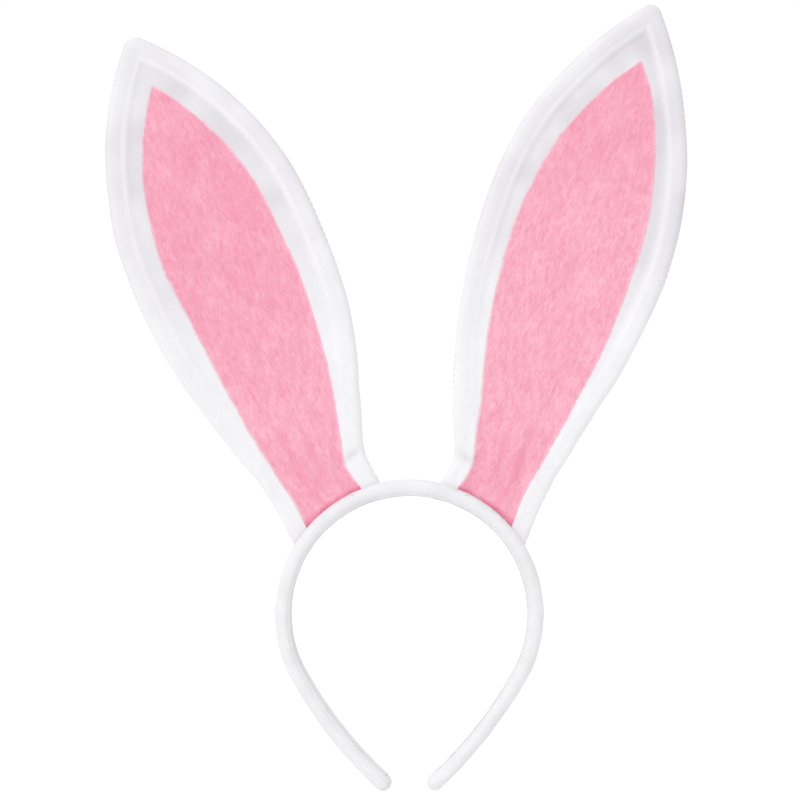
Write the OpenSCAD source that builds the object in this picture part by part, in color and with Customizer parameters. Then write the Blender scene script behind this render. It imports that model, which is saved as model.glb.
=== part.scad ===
// Animal ears headband: a plush sprung hoop with two wired, padded rabbit ears.
// The front faces -Y and +Z is up. Left is -X and right is +X, as seen from the front.
// The origin is the inner apex of the crown, where the band rests on top of the head.

/* [Hoop] */
// Radius of the hoop's inner face
head_r = 56.2; // [50:0.2:70]
// Thickness of the covered band, from the head outwards
band_t = 7.6; // [6:0.1:9.5]
// Width of the covered band, from front to back
band_w = 12; // [9.8:0.2:18]
// Polar angle from the crown at which the round hoop ends and the flatter arms begin
hoop_half_angle = 119; // [98:1:126]
// Radius of the flatter arms
arm_r = 200; // [120:5:300]
// Length of each flatter arm, out to its rounded end
arm_len = 69; // [40:1:82]
// How far the rounded end of each arm stands proud of the band
end_bulge = 0.95; // [0.3:0.05:2]

/* [Inside the band] */
// Thickness of the moulded spring core
core_t = 2.2; // [1.6:0.1:3]
// Width of the moulded spring core
core_w = 8; // [6:0.1:9.6]
// Thickness of the lining strip on the inner face
lining_t = 0.8; // [0.5:0.1:1.2]
// Width of the lining strip
lining_w = 5.6; // [3:0.1:8]
// Clearance between the core and its sleeve
core_clear = 0.15; // [0.05:0.05:0.3]
// How far the core reaches into each end cap
core_reach = 4; // [2:0.5:5]

/* [Arm flex] */
// How far each arm opens from rest
arm_open = 28; // [10:1:35]
// How far each arm closes from rest
arm_close = 2; // [0:0.5:3]
// Angle along the hoop from the ear's edge to the flex line
flex_margin = 12; // [6:1:30]

/* [Ears] */
// Polar angle from the crown to the middle of each ear's base
ear_polar = 32.7; // [28:0.1:40]
// Lean of the left ear from vertical
left_lean = 24; // [10:0.5:32]
// Lean of the right ear from vertical
right_lean = 19.5; // [10:0.5:32]
// Length of the left ear, from the band to the point where its sides would meet
left_len = 243; // [200:1:300]
// Length of the right ear, from the band to the point where its sides would meet
right_len = 253; // [200:1:305]
// Half of the ear's greatest width
ear_half_w = 47; // [39:0.5:57]
// Height of the ear's widest place above the band
ear_wide_at = 130; // [108:1:156]
// Half of the neck's width, where the ear meets the band
ear_neck = 22; // [18:0.5:26.5]
// Radius of the ear's lower sides
ear_side_r = 275; // [229:1:330]
// Radius of the hollow curve above the neck
ear_neck_r = 60; // [50:1:72]
// Radius of the ear's rounded tip
ear_tip_r = 7; // [5.8:0.1:8.5]
// Thickness of the padded ear without its pink panel
ear_t = 6; // [5:0.1:7.2]

/* [Pink panels] */
// Length of the left pink panel
left_pink_len = 215; // [179:1:225]
// Length of the right pink panel
right_pink_len = 221; // [184:1:233]
// Half of the pink panel's greatest width
pink_half_w = 30; // [25:0.5:36]
// Height of the pink panel's widest place above the band
pink_wide_at = 125; // [104:1:150]
// Half of the pink panel's width at the neck
pink_neck = 14; // [11.5:0.5:17]
// Radius of the pink panel's lower sides
pink_side_r = 400; // [330:5:480]
// Radius of the pink panel's hollow curve above the neck
pink_neck_r = 40; // [33:1:48]
// Radius of the pink panel's tip
pink_tip_r = 1.5; // [1:0.1:2]
// Thickness of the pink panel
pink_t = 0.8; // [0.5:0.1:1]

/* [Inside the ears] */
// Thickness of the white plush of the panels
plush_t = 1.2; // [0.8:0.1:1.5]
// Width of the turned edge, where the panels meet
edge_w = 3; // [2:0.1:4]
// Thickness of the sewn edge seam between the panels
seam_t = 0.8; // [0.5:0.1:1.2]
// How far the seam lies inside the ear's outline
seam_inset = 0.8; // [0.4:0.1:1.2]
// Radius of the frame wire
wire_r = 0.9; // [0.7:0.05:1.1]
// Clearance on each side of the frame wire, from the turned edge and from the foam
wire_clear = 0.5; // [0.3:0.05:0.8]
// Radius of the wire's bend at the tip
wire_tip_r = 5; // [4:0.1:6]
// Radius of the wire's bends at the neck
wire_bend_r = 5; // [4:0.1:6]
// Height of the wire's bottom run above the band
wire_run_at = 7.5; // [6.5:0.1:10]
// Length of the ferrule that joins the wire's ends
ferrule_len = 10; // [7:0.5:14]
// Wall of the ferrule
ferrule_wall = 0.5; // [0.4:0.05:0.6]
// Clearance of the wire in the ferrule
ferrule_clear = 0.1; // [0.05:0.05:0.15]
// Clearance of the foam from the panels and from the ferrule
foam_clear = 0.2; // [0.1:0.05:0.4]

/* [Ear bends] */
// Height of the fold line above the band
fold_at = 135; // [110:1:165]
// How far the ear's tip folds forward
fold_forward = 65; // [30:1:80]
// How far the ear's tip folds back
fold_back = 45; // [20:1:60]

/* [Stitching] */
// Number of tacking stitches on each side of an ear's base
stitch_count = 5; // [3:1:7]
// Radius of the tacking thread
stitch_r = 0.35; // [0.25:0.05:0.4]

/* [Hidden] */
$fn = 96;

LEFT = -1;
RIGHT = 1;
WHITE = [0.95, 0.95, 0.97];
PINK = [0.96, 0.67, 0.76];
CORE = [0.86, 0.87, 0.88];
FOAM = [0.93, 0.91, 0.84];
STEEL = [0.62, 0.64, 0.67];

// Gap left between two bodies along a bend's axis
bend_gap = 0.3;
// Gap between an ear's root and the band, and between the tacking thread and the band
root_gap = 0.3;
thread_gap = 0.05;
// How far the root's rounding stands past the ear's faces
root_spare = 0.2;
// Overrun of a cutting solid past the solid that it cuts
over = 5;
// Gap between the wire's two ends inside the ferrule
wire_end_gap = 0.6;
// Length of the row of tacking stitches, in half necks, and the angle that each loop covers round
// the band's shoulder, with the angle at which it starts at the front and at the back
stitch_row = 1.3;
stitch_angle = 35;
stitch_front = -50;
stitch_back = 15;

// The band's centreline and outer radius
band_mid_r = head_r + band_t / 2;
band_outer_r = head_r + band_t;
// Angle that a flatter arm turns through. Its sleeve stops at cap_angle, where the round end is as
// thick as the band, cap_shoulder short of the round end's middle
arm_angle = deg(arm_len / arm_r);
end_r = band_t / 2 + end_bulge;
cap_shoulder = sqrt(pow(end_r, 2) - pow(band_t / 2, 2));
cap_angle = arm_angle - deg((end_r + cap_shoulder) / arm_r);
// Polar angle of the flex line, clear of the ear's base
flex_polar = ear_polar + asin(ear_neck / band_outer_r) + flex_margin;

// Half of the ear's whole thickness at its root, and the radius at which the root's rounding runs
root_r = ear_t / 2 + pink_t + root_spare;
root_ring_r = band_outer_r + root_gap + root_r;
ear_base = [band_outer_r * sin(ear_polar), 0, band_outer_r * cos(ear_polar) - head_r];
// Depth of the ear's hollow in front of and behind its middle plane
hollow = ear_t / 2 - plush_t;
wire_inset = edge_w + wire_clear + wire_r;
foam_inset = wire_inset + wire_r + wire_clear;
foam_tip_r = wire_tip_r - wire_r - wire_clear;
// The foam starts above the wire's bends at the neck
foam_floor = wire_run_at + wire_bend_r;
// Height above every part of an ear
ear_top = max(left_len, right_len) + over;
// How far the ear's outline is drawn below the band's top before the root is cut
root_drop = band_outer_r - sqrt(pow(band_outer_r, 2) - pow(ear_neck, 2)) + over + ear_neck / 2;

function deg(radians) = radians * 180 / PI;

// Points along an arc from angle a0 to a1, from step number first to n
function arc(centre, r, a0, a1, n, first = 0) =
    [for (i = [first:n]) centre + r * [cos(a0 + (a1 - a0) * i / n), sin(a0 + (a1 - a0) * i / n)]];

function mirrored(points) = [for (i = [len(points) - 1:-1:0]) [-points[i][0], points[i][1]]];

// A leaf is [half width, height of its widest place, upper radius, lower radius, half neck, neck radius]
function leaf(half_w, wide_at, apex, side_r, neck, neck_r) =
    [half_w, wide_at, (pow(apex - wide_at, 2) + pow(half_w, 2)) / (2 * half_w), side_r, neck, neck_r];

// The same leaf drawn a distance further in all round
function inset_leaf(l, d) = [l[0] - d, l[1], l[2] - d, l[3] - d, l[4] - d, l[5] + d];

// Centres of a leaf's upper, lower and neck arcs, on its right side
function upper_centre(l) = [l[0] - l[2], l[1]];
function lower_centre(l) = [l[0] - l[3], l[1]];
function neck_centre(l) =
    [l[4] + l[5], l[1] - sqrt(pow(l[3] + l[5], 2) - pow(l[3] + l[5] - l[0] + l[4], 2))];

// Direction from the neck arc's centre to the lower arc's centre, and the height of the tip's centre
function neck_angle(l) =
    atan2(lower_centre(l)[1] - neck_centre(l)[1], lower_centre(l)[0] - neck_centre(l)[0]);
function tip_height(l, tip_r) = l[1] + sqrt(pow(l[2] - tip_r, 2) - pow(l[2] - l[0], 2));
function tip_angle(l, tip_r) = atan2(tip_height(l, tip_r) - l[1], l[2] - l[0]);

// A leaf's right side from the neck arc's angle a_start up to the middle of its tip
function leaf_side(l, tip_r, a_start) = concat(
    arc(neck_centre(l), l[5], a_start, neck_angle(l), 6),
    arc(lower_centre(l), l[3], neck_angle(l) - 180, 0, 8, 1),
    arc(upper_centre(l), l[2], 0, tip_angle(l, tip_r), 12, 1),
    arc([0, tip_height(l, tip_r)], tip_r, tip_angle(l, tip_r), 90, 4, 1)
);

function leaf_points(l, tip_r, floor_at) =
    let (side = concat([[l[4], floor_at]], leaf_side(l, tip_r, 180)))
    concat(side, mirrored([for (i = [0:len(side) - 2]) side[i]]));

// The wire's bottom bend lies between its bottom run and the neck arc
function bend_centre(l) = [
    neck_centre(l)[0] - sqrt(pow(l[5] + wire_bend_r, 2)
        - pow(wire_run_at + wire_bend_r - neck_centre(l)[1], 2)),
    wire_run_at + wire_bend_r
];

function wire_path(l) =
    let (
        c = bend_centre(l),
        a = 180 - asin((c[1] - neck_centre(l)[1]) / (l[5] + wire_bend_r)),
        rise = leaf_side(l, wire_tip_r, a),
        side = concat(
            [[wire_end_gap / 2, wire_run_at]],
            arc(c, wire_bend_r, -90, a - 180, 4),
            [for (i = [1:len(rise) - 1]) rise[i]]
        )
    )
    concat(side, mirrored([for (i = [0:len(side) - 2]) side[i]]));

// Unit direction along a path at point i
function along(path, i) =
    let (d = path[min(i + 1, len(path) - 1)] - path[max(i - 1, 0)]) d / norm(d);

// Round wire along a path in the ear's middle plane
module wire_tube(path, r) {
    sides = 8;
    last = len(path) - 1;
    points = [for (i = [0:last]) for (k = [0:sides - 1])
        let (d = along(path, i), a = 360 * k / sides)
        [path[i][0] + r * cos(a) * d[1], r * sin(a), path[i][1] - r * cos(a) * d[0]]];
    skin = [for (i = [0:last - 1]) for (k = [0:sides - 1])
        let (p = i * sides + k, q = i * sides + (k + 1) % sides)
        each [[p, p + sides, q], [q, p + sides, q + sides]]];
    start = [[for (k = [0:sides - 1]) k]];
    end = [[for (k = [sides - 1:-1:0]) last * sides + k]];
    polyhedron(points, concat(start, skin, end));
}

module mirror_left(side) {
    if (side == LEFT) mirror([1, 0, 0]) children();
    else children();
}

// Band

module stadium(centre_r, t, w) {
    translate([centre_r, 0]) square([t, w - t], center = true);
    for (end = [-1, 1]) translate([centre_r, end * (w - t) / 2]) circle(d = t);
}

module core_section(centre_r) stadium(centre_r, core_t, core_w);

module lining_section(centre_r) {
    translate([centre_r - band_t / 2, -lining_w / 2]) square([lining_t, lining_w]);
}

module sleeve_section(centre_r) {
    difference() {
        stadium(centre_r, band_t, band_w);
        stadium(centre_r, core_t + 2 * core_clear, core_w + 2 * core_clear);
        translate([-over, 0]) lining_section(centre_r);
        lining_section(centre_r);
    }
}

// Sweeps a section round an axis along Y, from straight up towards -X
module sweep(angle) rotate([90, 0, 0]) rotate([0, 0, 90]) rotate_extrude(angle = angle) children();

module in_hoop() translate([0, 0, -head_r]) children();

// The flatter arm's own centre, turned so that the arm starts straight up and tangent to the hoop
module in_arm() {
    in_hoop() rotate([0, hoop_half_angle, 0]) translate([0, 0, band_mid_r - arm_r]) children();
}

// The gap across the band that lets an arm turn, closed up only at its axis
module flex_cut() {
    d = band_t;
    opened = bend_gap / 2 + d * tan(arm_open / 2);
    closed = bend_gap / 2 + d * tan(arm_close / 2);
    in_hoop() rotate([0, flex_polar, 0]) translate([0, 0, band_mid_r]) rotate([90, 0, 0])
        linear_extrude(2 * band_w, center = true)
            polygon([
                [-bend_gap / 2, 0], [-opened, d], [opened, d],
                [bend_gap / 2, 0], [closed, -d], [-closed, -d]
            ]);
}

module crown_part() {
    difference() {
        in_hoop() rotate([0, flex_polar, 0]) sweep(2 * flex_polar) children();
        flex_cut();
        mirror([1, 0, 0]) flex_cut();
    }
}

// Hoop and arm stretches of one arm: the first child is the hoop's section and the second the arm's
module arm_part(past_cap = 0) {
    difference() {
        union() {
            in_hoop() rotate([0, hoop_half_angle, 0]) sweep(hoop_half_angle - flex_polar) children(0);
            in_arm() mirror([1, 0, 0]) sweep(cap_angle + deg(past_cap / arm_r)) children(1);
        }
        flex_cut();
    }
}

module arm_core(side) {
    mirror_left(side) arm_part(core_reach) {
        core_section(band_mid_r);
        core_section(arm_r);
    }
}

module arm_sleeve(side) {
    mirror_left(side) arm_part() {
        sleeve_section(band_mid_r);
        sleeve_section(arm_r);
    }
}

module arm_lining(side) {
    mirror_left(side) arm_part() {
        lining_section(band_mid_r);
        lining_section(arm_r);
    }
}

// The rounded end beyond the sleeve, with a slot that the core's end goes into
module arm_end_cap(side) {
    mirror_left(side) in_arm() rotate([0, cap_angle, 0]) translate([0, 0, arm_r]) difference() {
        translate([cap_shoulder, 0, 0]) rotate([90, 0, 0]) {
            cylinder(r = end_r, h = band_w - band_t, center = true);
            for (end = [-1, 1]) translate([0, 0, end * (band_w - band_t) / 2]) sphere(r = end_r);
        }
        translate([-2 * end_r, -band_w, -band_w]) cube([2 * end_r, 2 * band_w, 2 * band_w]);
        translate([-over, 0, 0]) rotate([0, 90, 0])
            linear_extrude(over + core_reach + core_clear)
                stadium(0, core_t + 2 * core_clear, core_w + 2 * core_clear);
    }
}

// Small loops of thread over the sleeve's front and back shoulders, along an ear's base
module tacking_stitches(side) {
    shoulder = (band_w - band_t) / 2;
    reach = band_t / 2 + thread_gap + stitch_r;
    span = deg(ear_neck * stitch_row / band_outer_r);
    mirror_left(side) for (i = [0:stitch_count - 1]) for (face = [-1, 1])
        in_hoop() rotate([0, ear_polar + span * (i / (stitch_count - 1) - 0.5), 0])
            translate([0, face * shoulder, band_mid_r]) rotate([0, -90, 0])
                rotate([0, 0, face > 0 ? stitch_back : stitch_front])
                    rotate_extrude(angle = stitch_angle, $fn = 48)
                        translate([reach, 0]) circle(stitch_r, $fn = 24);
}

// Ears. Each ear is drawn in its own plane, with +Z up its middle from the band's outer face.

function lean(side) = side == LEFT ? left_lean : right_lean;
function ear_leaf(side) = leaf(ear_half_w, ear_wide_at, side == LEFT ? left_len : right_len,
    ear_side_r, ear_neck, ear_neck_r);
function pink_leaf(side) = leaf(pink_half_w, pink_wide_at, side == LEFT ? left_pink_len : right_pink_len,
    pink_side_r, pink_neck, pink_neck_r);

module place_ear(side) {
    mirror_left(side) translate(ear_base) rotate([0, lean(side), 0]) children();
}

// A flat piece of an ear between two depths, its outline drawn in the ear's plane
module layer(front, back) {
    translate([0, back, 0]) rotate([90, 0, 0]) linear_extrude(back - front) children();
}

module ear_outline(side, inset = 0) {
    polygon(leaf_points(inset_leaf(ear_leaf(side), inset), ear_tip_r - inset, -root_drop));
}

// What lies below the fold line, or above it, with room for the fold on its inner side
module below_fold() {
    d = ear_t;
    fold_side() polygon([
        [0, fold_at - bend_gap / 2],
        [-d, fold_at - bend_gap / 2 - d * tan(fold_forward / 2)], [-d, -2 * root_drop],
        [d, -2 * root_drop], [d, fold_at - bend_gap / 2 - d * tan(fold_back / 2)]
    ]);
}

module above_fold() {
    d = ear_t;
    fold_side() polygon([
        [0, fold_at + bend_gap / 2],
        [d, fold_at + bend_gap / 2 + d * tan(fold_back / 2)], [d, ear_top],
        [-d, ear_top], [-d, fold_at + bend_gap / 2 + d * tan(fold_forward / 2)]
    ]);
}

// Draws a depth and height outline across the whole ear
module fold_side() {
    rotate([90, 0, 90]) linear_extrude(2 * (ear_half_w + over), center = true) children();
}

// Clears the band's outer face and rounds the root, so that the ear can tilt
module root_cut() {
    in_hoop() rotate([90, 0, 0]) rotate_extrude() difference() {
        translate([0, -2 * root_r]) square([root_ring_r, 4 * root_r]);
        translate([root_ring_r, 0]) circle(root_r);
    }
}

module lower_piece(side) {
    place_ear(side) intersection() {
        children();
        below_fold();
    }
}

module rooted_piece(side) {
    difference() {
        lower_piece(side) children();
        root_cut();
    }
}

module tip_piece(side) {
    place_ear(side) intersection() {
        children();
        above_fold();
    }
}

module front_panel(side) {
    difference() {
        layer(-ear_t / 2, -seam_t / 2) ear_outline(side);
        layer(-hollow, over) ear_outline(side, edge_w);
    }
}

module back_panel(side) {
    difference() {
        layer(seam_t / 2, ear_t / 2) ear_outline(side);
        layer(-over, hollow) ear_outline(side, edge_w);
    }
}

module edge_seam(side) {
    difference() {
        layer(-seam_t / 2, seam_t / 2) ear_outline(side, seam_inset);
        layer(-over, over) ear_outline(side, edge_w);
    }
}

module pink_panel(side) {
    layer(-ear_t / 2 - pink_t, -ear_t / 2)
        polygon(leaf_points(pink_leaf(side), pink_tip_r, -root_drop));
}

module foam(side) {
    layer(-hollow + foam_clear, hollow - foam_clear) intersection() {
        polygon(leaf_points(inset_leaf(ear_leaf(side), foam_inset), foam_tip_r, -root_drop));
        translate([-ear_half_w, foam_floor]) square([2 * ear_half_w, ear_top]);
    }
}

module frame_wire(side) wire_tube(wire_path(inset_leaf(ear_leaf(side), wire_inset)), wire_r);

module wire_ferrule() {
    translate([0, 0, wire_run_at]) rotate([0, 90, 0]) difference() {
        cylinder(r = wire_r + ferrule_clear + ferrule_wall, h = ferrule_len, center = true);
        cylinder(r = wire_r + ferrule_clear, h = ferrule_len + over, center = true);
    }
}

// Sub-parts

module crown_core() color(CORE) crown_part() core_section(band_mid_r);
module crown_sleeve() color(WHITE) crown_part() sleeve_section(band_mid_r);
module crown_lining() color(WHITE) crown_part() lining_section(band_mid_r);
module left_tacking_stitches() color(WHITE) tacking_stitches(LEFT);
module right_tacking_stitches() color(WHITE) tacking_stitches(RIGHT);

module left_arm_core() color(CORE) arm_core(LEFT);
module left_arm_sleeve() color(WHITE) arm_sleeve(LEFT);
module left_arm_lining() color(WHITE) arm_lining(LEFT);
module left_arm_end_cap() color(WHITE) arm_end_cap(LEFT);
module right_arm_core() color(CORE) arm_core(RIGHT);
module right_arm_sleeve() color(WHITE) arm_sleeve(RIGHT);
module right_arm_lining() color(WHITE) arm_lining(RIGHT);
module right_arm_end_cap() color(WHITE) arm_end_cap(RIGHT);

module left_ear_front_panel() color(WHITE) rooted_piece(LEFT) front_panel(LEFT);
module left_ear_back_panel() color(WHITE) rooted_piece(LEFT) back_panel(LEFT);
module left_ear_pink_panel() color(PINK) rooted_piece(LEFT) pink_panel(LEFT);
module left_ear_edge_seam() color(WHITE) rooted_piece(LEFT) edge_seam(LEFT);
module left_ear_foam() color(FOAM) lower_piece(LEFT) foam(LEFT);
module left_ear_wire() color(STEEL) lower_piece(LEFT) frame_wire(LEFT);
module left_ear_wire_ferrule() color(STEEL) place_ear(LEFT) wire_ferrule();
module left_tip_front_panel() color(WHITE) tip_piece(LEFT) front_panel(LEFT);
module left_tip_back_panel() color(WHITE) tip_piece(LEFT) back_panel(LEFT);
module left_tip_pink_panel() color(PINK) tip_piece(LEFT) pink_panel(LEFT);
module left_tip_edge_seam() color(WHITE) tip_piece(LEFT) edge_seam(LEFT);
module left_tip_foam() color(FOAM) tip_piece(LEFT) foam(LEFT);
module left_tip_wire() color(STEEL) tip_piece(LEFT) frame_wire(LEFT);

module right_ear_front_panel() color(WHITE) rooted_piece(RIGHT) front_panel(RIGHT);
module right_ear_back_panel() color(WHITE) rooted_piece(RIGHT) back_panel(RIGHT);
module right_ear_pink_panel() color(PINK) rooted_piece(RIGHT) pink_panel(RIGHT);
module right_ear_edge_seam() color(WHITE) rooted_piece(RIGHT) edge_seam(RIGHT);
module right_ear_foam() color(FOAM) lower_piece(RIGHT) foam(RIGHT);
module right_ear_wire() color(STEEL) lower_piece(RIGHT) frame_wire(RIGHT);
module right_ear_wire_ferrule() color(STEEL) place_ear(RIGHT) wire_ferrule();
module right_tip_front_panel() color(WHITE) tip_piece(RIGHT) front_panel(RIGHT);
module right_tip_back_panel() color(WHITE) tip_piece(RIGHT) back_panel(RIGHT);
module right_tip_pink_panel() color(PINK) tip_piece(RIGHT) pink_panel(RIGHT);
module right_tip_edge_seam() color(WHITE) tip_piece(RIGHT) edge_seam(RIGHT);
module right_tip_foam() color(FOAM) tip_piece(RIGHT) foam(RIGHT);
module right_tip_wire() color(STEEL) tip_piece(RIGHT) frame_wire(RIGHT);

crown_core();
crown_sleeve();
crown_lining();
left_tacking_stitches();
right_tacking_stitches();
left_arm_core();
left_arm_sleeve();
left_arm_lining();
left_arm_end_cap();
right_arm_core();
right_arm_sleeve();
right_arm_lining();
right_arm_end_cap();
left_ear_front_panel();
left_ear_back_panel();
left_ear_pink_panel();
left_ear_edge_seam();
left_ear_foam();
left_ear_wire();
left_ear_wire_ferrule();
left_tip_front_panel();
left_tip_back_panel();
left_tip_pink_panel();
left_tip_edge_seam();
left_tip_foam();
left_tip_wire();
right_ear_front_panel();
right_ear_back_panel();
right_ear_pink_panel();
right_ear_edge_seam();
right_ear_foam();
right_ear_wire();
right_ear_wire_ferrule();
right_tip_front_panel();
right_tip_back_panel();
right_tip_pink_panel();
right_tip_edge_seam();
right_tip_foam();
right_tip_wire();
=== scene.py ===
import itertools
import logging
import math
from dataclasses import dataclass
from enum import Enum
from typing import ClassVar, Sequence

import bpy
import numpy as np
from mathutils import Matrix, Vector


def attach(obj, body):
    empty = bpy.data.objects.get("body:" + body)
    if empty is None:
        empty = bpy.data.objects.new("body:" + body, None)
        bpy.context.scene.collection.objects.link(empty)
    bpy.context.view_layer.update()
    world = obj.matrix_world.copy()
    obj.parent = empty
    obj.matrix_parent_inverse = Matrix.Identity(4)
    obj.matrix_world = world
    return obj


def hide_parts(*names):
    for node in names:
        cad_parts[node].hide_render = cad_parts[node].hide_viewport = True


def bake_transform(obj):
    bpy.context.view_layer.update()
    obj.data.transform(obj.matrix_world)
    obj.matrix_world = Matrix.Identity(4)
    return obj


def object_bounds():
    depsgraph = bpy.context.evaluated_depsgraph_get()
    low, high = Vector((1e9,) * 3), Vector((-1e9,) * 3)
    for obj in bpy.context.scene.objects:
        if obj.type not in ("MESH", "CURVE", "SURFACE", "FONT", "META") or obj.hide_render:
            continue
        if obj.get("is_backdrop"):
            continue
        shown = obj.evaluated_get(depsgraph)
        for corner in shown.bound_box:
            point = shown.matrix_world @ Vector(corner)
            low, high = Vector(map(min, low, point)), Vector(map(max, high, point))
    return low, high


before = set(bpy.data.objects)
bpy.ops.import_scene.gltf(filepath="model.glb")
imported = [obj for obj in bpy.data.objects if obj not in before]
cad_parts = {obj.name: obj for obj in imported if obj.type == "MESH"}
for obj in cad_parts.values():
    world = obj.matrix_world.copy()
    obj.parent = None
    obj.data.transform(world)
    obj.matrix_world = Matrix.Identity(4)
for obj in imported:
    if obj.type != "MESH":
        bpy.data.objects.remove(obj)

MM = 0.001
NAP = "nap_coord"
# point attribute: painted shade in its first channel, thin pile in its second
MARKS = "painted_shade_and_thin_pile"
Sockets = bpy.types.bpy_prop_collection
Figures = tuple[tuple[str, float], ...]
log = logging.getLogger("headband")


class Side(Enum):
    """The side of the headband, as seen from the front."""

    LEFT = -1
    RIGHT = 1

    @property
    def word(self) -> str:
        """The side's name as it stands in the names of parts."""
        return self.name.lower()


# ---------------------------------------------------------------- numbers over a surface


def smooth(low: float, high: float, value: np.ndarray) -> np.ndarray:
    """A smooth step from 0 at low to 1 at high."""
    t = np.clip((np.asarray(value, float) - low) / (high - low), 0, 1)
    return t * t * (3 - 2 * t)


def bump(centre: float, width: float, value: np.ndarray) -> np.ndarray:
    """A bell of height 1 at centre, about twice the width across."""
    return np.exp(-(((np.asarray(value, float) - centre) / width) ** 2))


def waves(points: np.ndarray, size: float, seed: int) -> np.ndarray:
    """Smooth random values from -1 to 1.

    Args:
        points: where they are wanted, one row of three numbers a point.
        size: the width of one patch, in the points' own unit.
        seed: which pattern; the same seed gives the same values each time.

    Returns:
        One value for each point.
    """
    table = np.random.default_rng(seed).uniform(-1, 1, (32, 32, 32))
    scaled = np.asarray(points, float) / size
    cell = np.floor(scaled).astype(int)
    part = scaled - cell
    part = part * part * (3 - 2 * part)
    total = np.zeros(len(scaled))
    for corner in itertools.product((0, 1), repeat=3):
        share = np.prod(np.where(corner, part, 1 - part), axis=1)
        i, j, k = ((cell + corner) % 32).T
        total += share * table[i, j, k]
    return total


def patches(a: object, b: object, c: object, size: float, seed: int) -> np.ndarray:
    """Smooth random values from -1 to 1 at places whose three coordinates are arrays or numbers."""
    where = np.stack(np.broadcast_arrays(a, b, c), axis=-1).astype(float)
    return waves(where.reshape(-1, 3), size, seed).reshape(where.shape[:-1])


def rounded(share: np.ndarray) -> np.ndarray:
    """The height of a quarter-round edge, from 0 at the brim to 1 where the share inwards reaches 1."""
    return np.sqrt(1 - (1 - np.clip(share, 0, 1)) ** 2)


def spread(count: int) -> np.ndarray:
    """Shares from -1 to 1 that lie closer together towards both edges."""
    return np.sin(np.linspace(-1, 1, count) * math.pi / 2)


def there_and_back(share: np.ndarray) -> tuple[np.ndarray, np.ndarray]:
    """Shares across a piece as a closed ring, and which of them lie on its first face."""
    ring = np.concatenate([share, share[-2:0:-1]])
    return ring, np.arange(len(ring)) < len(share)


def finer(field: np.ndarray, times: int, axis: int, closed: bool) -> np.ndarray:
    """A field with more steps along one axis, drawn as a smooth curve through the old ones.

    Args:
        field: the coarse field.
        times: how many new steps stand for one old step.
        axis: the axis that gets them.
        closed: whether the axis runs round and meets its own start.

    Returns:
        The fine field.
    """
    field = np.moveaxis(field, axis, 0)
    count = len(field)
    steps = count * times if closed else (count - 1) * times + 1
    at = np.arange(steps) / times
    low = np.floor(at).astype(int)
    part = (at - low).reshape((-1,) + (1,) * (field.ndim - 1))

    def old(offset: int) -> np.ndarray:
        """The coarse field, an offset further along."""
        index = low + offset
        return field[index % count if closed else np.clip(index, 0, count - 1)]

    a, b, c, d = old(-1), old(0), old(1), old(2)
    bend = 2 * a - 5 * b + 4 * c - d + part * (3 * (b - c) + d - a)
    fine = b + 0.5 * part * (c - a + part * bend)
    return np.moveaxis(fine, 0, axis)


def painted_shade_and_thin_pile(painted_shade: np.ndarray, thin: np.ndarray | float = 0.0) -> np.ndarray:
    """Marks for a piece's pile: painted shade, and where the pile thins out, both from 0 to 1."""
    return np.stack(np.broadcast_arrays(np.clip(painted_shade, 0, 1), thin, 0.0), axis=-1)


# ---------------------------------------------------------------- meshes


@dataclass
class Mesh:
    """A mesh before it becomes an object: points in metres and nap coordinates in millimetres."""

    points: np.ndarray
    faces: list[tuple[int, ...]]
    nap: np.ndarray
    marks: np.ndarray | None = None

    def volume(self) -> float:
        """The volume inside the faces, below zero if they face inwards."""
        fans = [(f[0], f[i], f[i + 1]) for f in self.faces for i in range(1, len(f) - 1)]
        a, b, c = (self.points[np.array(fans)[:, k]] for k in range(3))
        return float((a * np.cross(b, c)).sum() / 6)

    def outwards(self) -> "Mesh":
        """The same closed mesh with its faces turned outwards."""
        if self.volume() < 0:
            self.faces = [tuple(reversed(f)) for f in self.faces]
        return self

    def normals(self) -> np.ndarray:
        """The smooth normal at each point of the whole mesh."""
        data = bpy.data.meshes.new("normals")
        data.from_pydata(self.points.tolist(), [], self.faces)
        data.update()
        found = np.zeros(len(self.points) * 3)
        data.vertex_normals.foreach_get("vector", found)
        bpy.data.meshes.remove(data)
        return found.reshape(-1, 3)

    def object(self, name: str, finish: "Finish", normals: np.ndarray | None = None) -> bpy.types.Object:
        """Makes the mesh an object.

        Args:
            name: the piece's name.
            finish: what it is made of.
            normals: smooth normals taken from a larger mesh that this one was cut from.

        Returns:
            The new object, in the scene.
        """
        data = bpy.data.meshes.new(name)
        data.from_pydata(self.points.tolist(), [], self.faces)
        data.update()
        data.polygons.foreach_set("use_smooth", np.ones(len(data.polygons), bool))
        for label, values in ((NAP, self.nap), (MARKS, self.marks)):
            if values is not None:
                field = data.attributes.new(label, "FLOAT_VECTOR", "POINT").data
                field.foreach_set("vector", values.astype(np.float32).ravel())
        if normals is not None:
            data.normals_split_custom_set_from_vertices(normals.tolist())
        data.materials.append(finish.material())
        piece = bpy.data.objects.new(name, data)
        bpy.context.scene.collection.objects.link(piece)
        return piece


def joined(meshes: Sequence[Mesh]) -> Mesh:
    """Several meshes as one."""
    faces: list[tuple[int, ...]] = []
    start = 0
    for m in meshes:
        faces += [tuple(i + start for i in f) for f in m.faces]
        start += len(m.points)
    return Mesh(np.vstack([m.points for m in meshes]), faces, np.vstack([m.nap for m in meshes]))


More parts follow.
